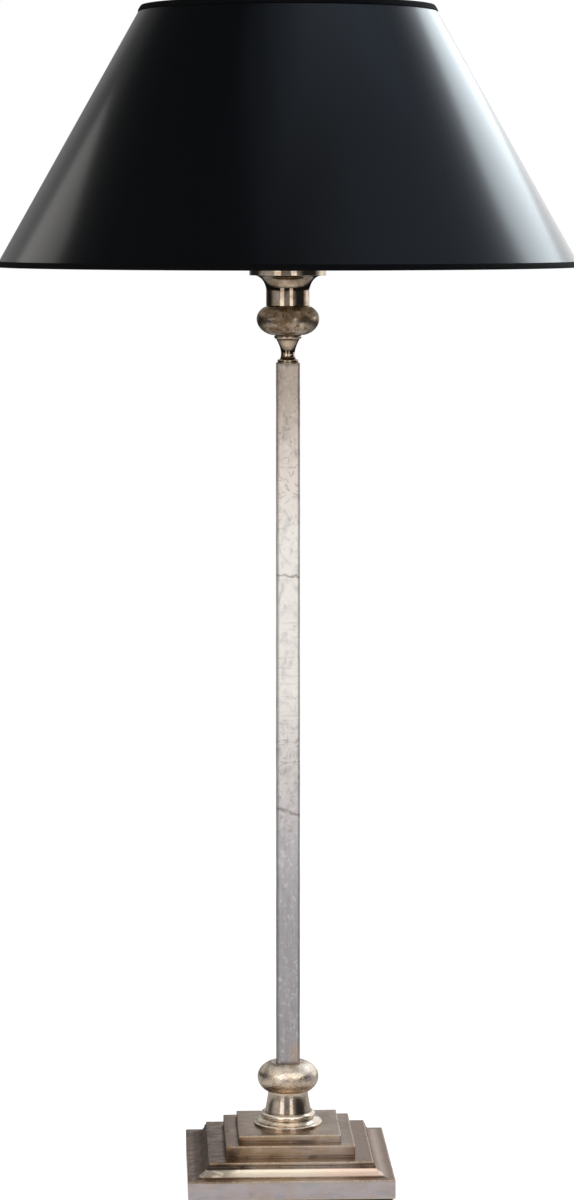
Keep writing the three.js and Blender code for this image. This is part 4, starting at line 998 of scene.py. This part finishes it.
def spool_profile():
    """The spool: a spigot, an edge and a bead at its foot, a narrow waist and a round collar."""
    collar_radius = node_span("upper_neck")[0]
    foot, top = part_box("square_tube")[1].z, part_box("upper_knob")[0].z
    half, collar_half = SPOOL_BEAD / 2, SPOOL_COLLAR / 2
    bead_foot = foot + SPOOL_FOOT_EDGE
    root = SPOOL_FOOT_RADIUS - SPOOL_FOOT_EDGE - half
    waist = foot + SPOOL_WAIST_HEIGHT
    collar_root = collar_radius - collar_half
    rise = top - SPOOL_COLLAR - waist
    bead_top = bead_foot + SPOOL_BEAD
    low_end, high_end = foot - SPOOL_SPIGOT, top + SPOOL_SPIGOT
    return outline(
        [SPOOL_BORE, low_end], [SPOOL_SPIGOT_RADIUS, low_end], [SPOOL_SPIGOT_RADIUS, foot],
        [SPOOL_FOOT_RADIUS, foot], [SPOOL_FOOT_RADIUS, bead_foot],
        arc([root, bead_foot + half], [half, half], -60, 60, 8),
        sweep([root, bead_top], [SPOOL_WAIST_RADIUS, bead_top], [SPOOL_WAIST_RADIUS, waist - half],
              [SPOOL_WAIST_RADIUS, waist], 10),
        sweep([SPOOL_WAIST_RADIUS, waist], [SPOOL_WAIST_RADIUS, waist + rise / 3],
              [(SPOOL_WAIST_RADIUS + collar_root) / 2, waist + 2 * rise / 3],
              [collar_root, top - SPOOL_COLLAR], 14),
        arc([collar_root, top - collar_half], [collar_half, collar_half], -60, 90, 12),
        [SPOOL_SPIGOT_RADIUS, top], [SPOOL_SPIGOT_RADIUS, high_end], [SPOOL_BORE, high_end],
    )


def cup_profile():
    """The candle cup: a straight stem, a flare out to a thin flange, and a shallow dish on top."""
    flange, foot, top = node_span("candle_cup")
    stem_top, under = foot + CUP_STEM_HEIGHT, top - CUP_FLANGE
    return outline(
        [BORE_RADIUS, foot], [CUP_STEM_RADIUS - CUP_EDGE, foot], [CUP_STEM_RADIUS, foot + CUP_EDGE],
        sweep([CUP_STEM_RADIUS, stem_top], [CUP_STEM_RADIUS, (stem_top + under) / 2],
              [CUP_STEM_RADIUS + CUP_EDGE * 4, under], [flange - CUP_EDGE * 2.5, under], 18),
        [flange, under], [flange, top], [CUP_DISH_RADIUS, top],
        [CUP_DISH_RADIUS - CUP_DISH_DEPTH, top - CUP_DISH_DEPTH], [BORE_RADIUS, top - CUP_DISH_DEPTH],
    )


def leafed_column():
    """The square tube: its wall carried round a square with small round corners, a little uneven by hand.

    A side moves in or out by a few hundredths of a millimetre, as the sum of three cosines of a number
    times the turn plus a rate times the height.
    """
    low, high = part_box("square_tube")
    side = high.x
    profile = eased(band(side - COLUMN_WALL, side, low.z, high.z), 0.3 * MM, 2.4 * MM)
    path = square_round(7, 8)
    outside = profile[:, 0] > side - COLUMN_WALL / 2
    points = squared(profile, np.where(outside, COLUMN_CORNER, COLUMN_CORNER / 2), 0, path)
    turns = even_turns(len(path[0]))
    height = profile[:, 1][:, None]
    uneven = sum(np.cos(number * turns + rate * height + phase) for number, rate, phase in COLUMN_WAVES)
    points = pushed_out(points, COLUMN_WAVER * uneven * outside[:, None])
    at_corner = np.abs(path[1]).min(axis=1) > 0.05
    marks = worn(profile)
    # The corners count as edges, which the leaf's finish paints darker as painted shade.
    marks["edge"] = np.maximum(marks["edge"][:, None], at_corner[None] * 1.0)
    return piece("leafed_column", "lamp_stand", silver_leaf("silver_leaf"),
                 [shell(points, **marks)], ["square_tube"])


# The lampholder and the bulb

def screwed(points, pitch, depth, low, high, chosen):
    """Rows pressed in by a round thread: depth times a raised cosine of height / pitch less the turn.

    The thread fades over half a pitch at its ends, low and high, and lies only on the chosen rows.
    """
    height = points[..., 2]
    turn = np.arctan2(points[..., 1], points[..., 0]) / FULL_TURN
    wave = 0.5 - 0.5 * np.cos(FULL_TURN * (height / pitch - turn))
    fade = np.clip((height - low) / (pitch / 2), 0, 1) * np.clip((high - height) / (pitch / 2), 0, 1)
    return pushed_out(points, -depth * wave * fade * np.asarray(chosen)[:, None])


def holder_cap(brass):
    """The domed cap of the holder, hollow, with a spigot for the shell and a hole across for the switch."""
    radius, foot, spigot_top = node_span("holder_cap")
    top = foot + CAP_HEIGHT
    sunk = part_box("holder_insert")[0].z
    dome = [radius - CAP_DOME, foot + CAP_DOME]
    inner = [CAP_CAVITY - CAP_DOME + CAP_WALL, foot + CAP_DOME]
    profile = outline(
        [BORE_RADIUS, foot], arc(dome, [CAP_DOME, CAP_DOME], -90, 0, 16), [radius, top],
        [CAP_SPIGOT_RADIUS, top], [CAP_SPIGOT_RADIUS, spigot_top], [CAP_BORE, spigot_top],
        [CAP_BORE, sunk], [CAP_CAVITY, sunk],
        arc(inner, [CAP_DOME - CAP_WALL, CAP_DOME - CAP_WALL], 0, -90, 12), [BORE_RADIUS, foot + CAP_WALL],
    )
    made = turning("holder_cap_spinning", "holder_cap", profile, brass, step=1 * MM,
                   columns=COARSE)
    low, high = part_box("switch_bar")
    height = (low.z + high.z) / 2
    bore(made, [-radius * 1.2, 0, height], [radius * 1.2, 0, height], (high.z - low.z) / 2 + SEAT_GAP)
    return made


def switch_button(plastic):
    """The push-through bar: a round rod with bevelled ends and a notch at its middle, laid along X."""
    low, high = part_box("switch_bar")
    radius, height, middle = (high.y - low.y) / 2, (low.z + high.z) / 2, (low.x + high.x) / 2
    slim, notch = radius - SWITCH_CHAMFER, SWITCH_NOTCH / 2
    profile = outline(
        [0, low.x], [slim, low.x], [radius, low.x + SWITCH_CHAMFER], [radius, middle - notch],
        [slim, middle - notch + SWITCH_CHAMFER], [slim, middle + notch - SWITCH_CHAMFER],
        [radius, middle + notch], [radius, high.x - SWITCH_CHAMFER], [slim, high.x], [0, high.x],
    )
    rows = eased(profile, 0.3 * MM, 1.5 * MM, closed=False)
    points = turned(rows, even_turns(48))[..., [2, 1, 0]] * [1, 1, -1] + [0, 0, height]
    return piece("switch_button", "switch_bar", plastic, [shell(points, closed=False)],
                 ["switch_bar"])


def holder_shell(brass):
    """The holder's outer shell: a collar that carries the shade, and above it a thread for its ring."""
    collar_radius, foot, top = node_span("holder_shell")
    collar_foot = foot + SHELL_COLLAR_RISE
    collar_top = collar_foot + SHELL_COLLAR
    lip = top - SHELL_LIP
    lip_bore = SHELL_RADIUS - SHELL_LIP - SHELL_LIP_WIDTH
    profile = outline(
        [SHELL_BORE, foot], [SHELL_RADIUS, foot], [SHELL_RADIUS, collar_foot], [collar_radius, collar_foot],
        [collar_radius, collar_top], [SHELL_RADIUS, collar_top], [SHELL_RADIUS, lip],
        [SHELL_RADIUS - SHELL_LIP, top], [lip_bore, top], [lip_bore, lip], [SHELL_BORE, lip],
    )
    rows = eased(profile, 0.3 * MM, 0.3 * MM)
    outside = rows[:, 0] > SHELL_RADIUS - 0.1 * MM
    points = screwed(turned(rows, even_turns(COARSE)), SHELL_PITCH, SHELL_DEPTH, collar_top, lip, outside)
    return piece("holder_shell_spinning", "lamp_stand", brass, [shell(points, **worn(rows))],
                 ["holder_shell"])


def gripped_ring(brass):
    """The ring that clamps the shade: its outer face is pressed in by a cosine for each grip."""
    radius, foot, top = node_span("shade_ring")
    radius = max(radius, RING_RADIUS)
    rows = eased(band(RING_BORE, radius, foot, top), GRIP_DEPTH, 0.6 * MM)
    turns = even_turns(GRIPS * 12)
    points = turned(rows, turns)
    share = np.clip((rows[:, 0] - RING_BORE) / (radius - RING_BORE), 0, 1) ** 2
    points = pushed_out(points, -GRIP_DEPTH * share[:, None] * (1 + np.cos(GRIPS * turns)) / 2)
    return piece("gripped_ring", "shade_ring", brass, [shell(points, **worn(rows))],
                 ["shade_ring"])


def porcelain_cup(porcelain):
    """The insert: a porcelain cup round the screw shell, on a foot that sits in the cap."""
    low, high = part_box("holder_insert")
    shoulder, floor = low.z + INSERT_SHOULDER, low.z + INSERT_FLOOR
    profile = outline([0, low.z], [INSERT_FOOT, low.z], [INSERT_FOOT, shoulder], [INSERT_RADIUS, shoulder],
                      [INSERT_RADIUS, high.z], [INSERT_BORE, high.z], [INSERT_BORE, floor], [0, floor])
    return turning("porcelain_cup", "holder_insert", profile, porcelain, rounding=0.4 * MM,
                   step=1.5 * MM, columns=COARSE, closed=False)


def rolled_thread(name, node, body, finish, profile, low, high):
    """A thin sleeve rolled into a round thread, both faces alike."""
    rows = eased(profile, 0.15 * MM, 0.45 * MM)
    both_faces = np.ones(len(rows))
    points = screwed(turned(rows, even_turns(COARSE)), SCREW_PITCH, SCREW_DEPTH, low, high, both_faces)
    return piece(name, body, finish, [shell(points, **worn(rows))], [node])


def screw_shell(brass):
    """The holder's inner shell, which the bulb screws into."""
    radius, foot, top = node_span("screw_shell")
    return rolled_thread("rolled_screw_shell", "screw_shell", "lamp_stand", brass,
                         band(radius - SCREW_WALL, radius, foot, top), foot, top)


def bulb_cap(metal):
    """The bulb's screw cap, drawn in at its foot round the insulator."""
    radius, foot, top = node_span("bulb_cap")
    shoulder = foot + radius - BULB_INSULATOR
    inner = radius - BULB_CAP_WALL
    profile = outline([BULB_INSULATOR - BULB_CAP_WALL, foot], [BULB_INSULATOR, foot], [radius, shoulder],
                      [radius, top], [inner, top], [inner, shoulder])
    return rolled_thread("rolled_bulb_cap", "bulb_cap", "bulb", metal, profile, shoulder,
                         top - BULB_THREAD_END)


def opal_bulb():
    """The glass: from its neck in the cap out in one curve to a ball, and the same less its wall inside."""
    radius, foot, top = node_span("bulb_glass")
    centre, cap_top = top - radius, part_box("bulb_cap")[1].z
    rise = centre - cap_top

    def side(inset):
        neck, round_radius = BULB_NECK - inset, radius - inset
        return outline([neck, foot], sweep([neck, cap_top], [neck, cap_top + rise / 3],
                                           [round_radius, centre - rise / 2.5], [round_radius, centre], 26),
                       arc([0, centre], [round_radius, round_radius], 0, 90, 26))

    outer, inner = side(0), side(BULB_GLASS)
    if outer[0, 1] > outer[-1, 1]:
        outer = outer[::-1]
    if inner[0, 1] < inner[-1, 1]:
        inner = inner[::-1]
    profile = np.concatenate([inner, outer])
    profile[[0, -1], 0] = 0
    glass = plain_coat("opal_glass", tone(240, 238, 232), tone(246, 244, 240), 0.12, 30 * MM, 0.01 * MM,
                       4 * MM, {"Coat Weight": 0.6, "Coat Roughness": 0.05})
    points = turned(profile, even_turns(FINE))
    return piece("opal_bulb", "bulb", glass, [shell(points, closed=False)], ["bulb_glass"])


def contact_tip(metal):
    """The solder button on the bulb's cap."""
    radius, foot, top = node_span("bulb_tip")
    profile = outline([0, foot], arc([0, top], [radius, top - foot], -89, 0, 10), [0, top])
    return turning("contact_button", "bulb_tip", profile, metal, rounding=0.1 * MM, body="bulb",
                   columns=48, closed=False)


# The shade

def on_shade(height, depth):
    """A profile point on the shade's wall: at a height, and a depth in from its outer face, square to it."""
    slope = (SHADE_FOOT_RADIUS - SHADE_TOP_RADIUS) / (SHADE_TOP - SHADE_FOOT)
    return [SHADE_FOOT_RADIUS - (height - SHADE_FOOT) * slope - depth * math.hypot(1, slope), height]


def on_outside(rows):
    """Which rows of a profile on the shade's wall lie outside the middle of its card."""
    return (rows[:, 0] > np.array([on_shade(height, CARD / 2)[0] for height in rows[:, 1]]))[:, None]


def shade_turns(columns):
    """Angles round the shade, even but for close pairs at the edges of the card's lap at the back."""
    edges = CARD_LAP_PLACE + np.array([-CARD_LAP_TURN, CARD_LAP_TURN])
    close = np.concatenate([edges - CARD_LAP_EDGE, edges + CARD_LAP_EDGE])
    return np.unique(np.concatenate([even_turns(columns), close]))


def lap(turns, outside):
    """How far the lapped card stands out, 0 to 1: it rises over the lap and drops at the card's cut end."""
    way = 1 if outside else -1
    along = way * (turns - CARD_LAP_PLACE) / CARD_LAP_TURN
    return np.where(np.abs(along) <= 1, (along + 1) / 2, 0)


def card_cone():
    """The card: a band of the shade's wall, lapped on itself at the back and never quite round.

    The outer face stands out at the lap and the lining stands in, each by a lap's thickness.
    """
    inset = TAPE + GLUE
    bottom, top = SHADE_FOOT + inset, SHADE_TOP - inset
    wall = outline(on_shade(bottom, 0), on_shade(top, 0), on_shade(top, CARD), on_shade(bottom, CARD))
    rows = eased(wall, 0.2 * MM, 2.6 * MM)
    turns = shade_turns(SHADE_COLUMNS)
    outer = on_outside(rows)
    points = turned(rows, turns)
    sag = CARD_SAG * waves(turns, 6, count=6, lowest=2)
    lapped = CARD_LAP * np.where(outer, lap(turns, True), -lap(turns, False))
    points = pushed_out(points, lapped + sag)
    return piece("card_cone", "shade", shade_card("shade_card"),
                 [shell(points, lining=1.0 - outer)], ["shade_skin"])


def rim_tape(name, node, rim, towards_middle, tape):
    """Tape folded over a rim and its hoop, outside and inside, a little full and puckered along it."""
    hoop_depth = CARD + GLUE + WIRE
    inner = hoop_depth + WIRE + GLUE
    web, edge = rim + towards_middle * TAPE, rim + towards_middle * TAPE_WIDTH
    swell = rim + towards_middle * TAPE_WIDTH / 2
    profile = outline(
        on_shade(rim, -GLUE - TAPE * 0.6), on_shade(rim, inner + TAPE * 0.6), on_shade(swell, inner + TAPE),
        on_shade(edge, inner + TAPE * 0.6), on_shade(edge, inner), on_shade(web, inner), on_shade(web, -GLUE),
        on_shade(edge, -GLUE), on_shade(edge, -GLUE - TAPE * 0.7), on_shade(swell, -GLUE - TAPE),
    )
    rows = eased(profile, 0.35 * MM, 0.5 * MM)
    turns = shade_turns(SHADE_COLUMNS)
    pucker = TAPE_PUCKER * waves(turns, 12, count=60, lowest=6)
    lapped = CARD_LAP * np.where(on_outside(rows), lap(turns, True), 0)
    points = pushed_out(turned(rows, turns), lapped + pucker)
    return piece(name, "shade", tape, [shell(points)], [node])


def wire_hoop(name, node, lacquer):
    """A hoop of wire: a small circle turned round the lamp's axis."""
    low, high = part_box(node)
    height = (low.z + high.z) / 2
    radius = on_shade(height, CARD + GLUE + WIRE)[0]
    circle = outline(arc([radius, height], [WIRE, WIRE], 0, 360, 18)[:-1])
    return piece(name, "shade", lacquer, [shell(turned(circle, even_turns(FINE)))], [node])


def spoked_fitter(lacquer):
    """The fitter: a flat ring on the holder and spokes out to the bottom hoop, level and then down."""
    rows = eased(band(FITTER_BORE, FITTER_RADIUS, FITTER_FOOT, FITTER_TOP), 0.5 * MM, 0.8 * MM)
    hoop_height = SHADE_FOOT + TAPE + GLUE + WIRE
    end = on_shade(hoop_height, CARD + GLUE + WIRE)[0] - WIRE - SEAT_GAP
    level = (FITTER_FOOT + FITTER_TOP) / 2
    bend = SPOKE_START + SPOKE_LEVEL
    route = np.concatenate([
        np.column_stack([np.linspace(SPOKE_START, bend, 8), np.full(8, level)])[:-1],
        sweep([bend, level], [bend + SPOKE_BEND, level], [end - SPOKE_REACH, hoop_height + SPOKE_RISE],
              [end, hoop_height], 40),
    ])
    spoke = bar_along(route, WIRE, 20)
    shells = [shell(turned(rows, even_turns(COARSE)))]
    shells += [shell(spun(spoke, math.pi / 2 + k * FULL_TURN / SPOKES), closed=False) for k in range(SPOKES)]
    return piece("spoked_fitter", "shade", lacquer, shells, ["fitter"])


# The pieces, from the floor up

black_plastic = plain_coat("black_plastic", tone(22, 22, 23), tone(34, 34, 35), 0.42)
steel = plain_metal("zinc_steel", tone(196, 198, 202), tone(168, 170, 172), 0.36)
iron = plain_metal("cast_iron", tone(74, 72, 72), tone(52, 50, 50), 0.7, 3 * MM, depth=0.2 * MM)
brass = plain_metal("holder_brass", tone(222, 186, 110), tone(196, 152, 82), 0.26, stretch=(12, 12, 1))
cap_metal = plain_metal("bulb_metal", tone(206, 206, 204), tone(184, 184, 184), 0.3, stretch=(12, 12, 1))
porcelain = plain_coat("porcelain", tone(238, 234, 224), tone(228, 222, 208), 0.18,
                       fixed={"Coat Weight": 0.5})
lacquer = plain_coat("shade_wire", tone(226, 225, 221), tone(208, 206, 200), 0.35)
tape = woven_tape("black_tape")
# Bloom paints a highlight on the shoulders of the foot and the lower knob.
foot_silver = silvered_brass("foot_silver", tarnish=0.2, mottle=0.5, gloss=0.13, seed=1.0, speckle=0.02 * MM,
                             soil=0.3, dull=0.1, bloom=0.8)
lower_silver = silvered_brass("lower_silver", tarnish=0.2, mottle=0.7, gloss=0.26, seed=12.0,
                              speckle=0.3 * MM, soil=0.8, bloom=0.7)
upper_silver = silvered_brass("upper_silver", tarnish=0.65, mottle=0.6, gloss=0.24, seed=23.0,
                              speckle=0.02 * MM)
cup_silver = silvered_brass("cup_silver", tarnish=0.45, mottle=0.3, gloss=0.06, seed=34.0, speckle=0.004 * MM,
                            rubbed=0.1, dull=0.05)

felt_foot()
stepped_base()
inlet_bush(black_plastic)
turning("turned_foot", "lower_bell", foot_profile(), foot_silver)
turning("turned_lower_knob", "lower_knob",
        knob_profile("lower_knob", LOWER_EQUATOR, LOWER_KNOB_FOOT, LOWER_KNOB_TOP), lower_silver,
        dents=0.1 * MM, seed=5)
leafed_column()
turning("turned_spool", "upper_neck", spool_profile(), cup_silver, step=0.4 * MM)
turning("turned_upper_knob", "upper_knob",
        knob_profile("upper_knob", UPPER_EQUATOR, UPPER_KNOB_FOOT, UPPER_KNOB_TOP), upper_silver,
        dents=0.16 * MM, seed=9)
turning("turned_cup", "candle_cup", cup_profile(), cup_silver)
holder_cap(brass)
switch_button(black_plastic)
porcelain_cup(porcelain)
screw_shell(brass)
holder_shell(brass)
gripped_ring(brass)
contact_tip(cap_metal)
bulb_cap(cap_metal)
opal_bulb()
card_cone()
rim_tape("lower_tape", "bottom_trim", SHADE_FOOT, 1, tape)
rim_tape("upper_tape", "top_trim", SHADE_TOP, -1, tape)
wire_hoop("lower_hoop", "bottom_ring", lacquer)
wire_hoop("upper_hoop", "top_ring", lacquer)
spoked_fitter(lacquer)

kept = {
    "base_cover": steel, "ballast_plate": iron, "base_washer": steel, "base_nut": steel, "tie_rod": steel,
    "cover_screw_1": steel, "cover_screw_2": steel, "cover_screw_3": steel, "cover_screw_4": steel,
    "tube_plug_lower": steel, "tube_plug_upper": steel, "top_nipple": steel, "centre_contact": brass,
    "bulb_insulator": black_plastic,
}
for node, finish in kept.items():
    for material_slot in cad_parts[node].material_slots:
        material_slot.material = finish


# The studio: a pale floor, a white surround, panels of light and the camera

def floor():
    """A pale floor: to the camera it is white of itself, and it keeps the lamp's shadow.

    Polished metal sees it as a pale round table in a darker room.
    """
    mesh = bpy.data.meshes.new("floor")
    mesh.from_pydata([(x * FLOOR_REACH, y * FLOOR_REACH, FLOOR_DROP) for x, y in CORNERS], [], [(0, 1, 2, 3)])
    made = bpy.data.objects.new("floor", mesh)
    bpy.context.scene.collection.objects.link(made)
    f = Finish("floor")
    seen = Socket(f, f.node("ShaderNodeLightPath").output.node.outputs["Is Camera Ray"])
    away = f.node("ShaderNodeVectorMath", {"operation": "LENGTH"}, {0: f.place}, output="Value")
    table = f.mix(away.ramp(0.9, 1.7), (0.75, 0.73, 0.71, 1), (0.03, 0.03, 0.03, 1))
    plain = f.node("ShaderNodeBsdfDiffuse", None, {"Color": table})
    shaded = f.node("ShaderNodeBsdfDiffuse", None, {"Color": (0.5, 0.5, 0.5, 1)})
    glow = f.node("ShaderNodeEmission", None, {"Color": (1, 1, 1, 1), "Strength": FLOOR_GLOW})
    white = f.node("ShaderNodeAddShader", None, {0: shaded, 1: glow})
    shader = f.node("ShaderNodeMixShader", None, {0: seen, 1: plain, 2: white})
    f.node("ShaderNodeOutputMaterial", None, {"Surface": shader})
    mesh.materials.append(f.made)


def surround():
    """White to the camera. Polished metal sees white behind it and to the right, greys round the rest.

    Each side is a product of smooth steps of the direction, times how bright that side is.
    """
    world = bpy.data.worlds.new("studio")
    bpy.context.scene.world = world
    world.use_nodes = True
    w = Nodes(world.node_tree)
    way = w.node("ShaderNodeTexCoord", output="Generated")
    x, y, z = (w.node("ShaderNodeSeparateXYZ", None, {0: way}, output=letter) for letter in "XYZ")
    path = w.node("ShaderNodeLightPath").output.node
    camera, glossy, through = (Socket(w, path.outputs[name])
                               for name in ("Is Camera Ray", "Is Glossy Ray", "Is Transmission Ray"))
    behind_right = y.ramp(0.15, 0.5) * x.ramp(-0.15, 0.25)
    behind = y.ramp(0.75, 0.97)
    behind_left = y.ramp(0.45, 0.75) * x.ramp(0.0, -0.35) * z.ramp(0.05, 0.3)
    right = y.ramp(-0.1, 0.25) * x.ramp(0.5, 0.9) * z.ramp(0.45, 0.2)
    left = y.ramp(0.3, -0.1) * x.ramp(-0.4, -0.8) * z.ramp(0.45, 0.2)
    front = y.ramp(0.1, -0.5) * x.ramp(0.75, 0.45)
    low = z.ramp(0.75, 0.45)
    high = z.ramp(0.35, 0.7) * x.ramp(-0.25, 0.65)
    level = behind_right * RIGHT_WHITE + behind_left * LEFT_GREY + right * SIDE_WHITE
    level = level + behind * BACK_GREY + front * FRONT_GREY + left * LEFT_WALL
    mirrored = low * level + high * HIGH_GREY + DARK
    mirror = (glossy + through).ramp(0.0, 1.0)
    unseen = mirror * mirrored + (1 - mirror) * AMBIENT
    strength = camera + (1 - camera) * unseen
    tint = w.mix(high * (1 - camera), (1, 1, 1, 1), (*SKY, 1))
    background = w.node("ShaderNodeBackground", None, {"Color": tint, "Strength": strength})
    w.node("ShaderNodeOutputWorld", None, {"Surface": background})


def panel(name, place, target, width, height, radiance, colour):
    """A soft panel of light. Its power is its radiance times pi times its area."""
    light = bpy.data.lights.new(name, "AREA")
    light.shape = "RECTANGLE"
    light.size, light.size_y = width, height
    light.energy = radiance * math.pi * width * height
    light.color = colour
    made = bpy.data.objects.new(name, light)
    made.location = place
    made.rotation_euler = (Vector(target) - Vector(place)).to_track_quat("-Z", "Y").to_euler()
    made.visible_camera = False
    bpy.context.scene.collection.objects.link(made)


def photo_camera():
    """The photograph's camera: its long side is the sensor's, and its shift moves the picture's middle."""
    data = bpy.data.cameras.new("photo_camera")
    data.sensor_width = SENSOR
    data.lens = SENSOR * FOCAL_PIXELS / PHOTO_HEIGHT
    data.shift_x = (PHOTO_WIDTH / 2 - AXIS_X_PIXELS) / PHOTO_HEIGHT
    data.shift_y = SHIFT_Y_PIXELS / PHOTO_HEIGHT
    data.clip_start, data.clip_end = 0.05, 200
    camera = bpy.data.objects.new("photo_camera", data)
    camera.location = (math.sin(CAMERA_TURN) * CAMERA_DISTANCE, -math.cos(CAMERA_TURN) * CAMERA_DISTANCE,
                       CAMERA_HEIGHT)
    camera.rotation_euler = (math.pi / 2 - CAMERA_PITCH, 0, CAMERA_TURN)
    bpy.context.scene.collection.objects.link(camera)
    bpy.context.scene.camera = camera


photo_camera()
floor()
surround()
for name, place, target, width, height, radiance, colour in PANELS:
    panel(name, place, target, width, height, radiance, colour)

bpy.context.scene.view_settings.view_transform = "Standard"
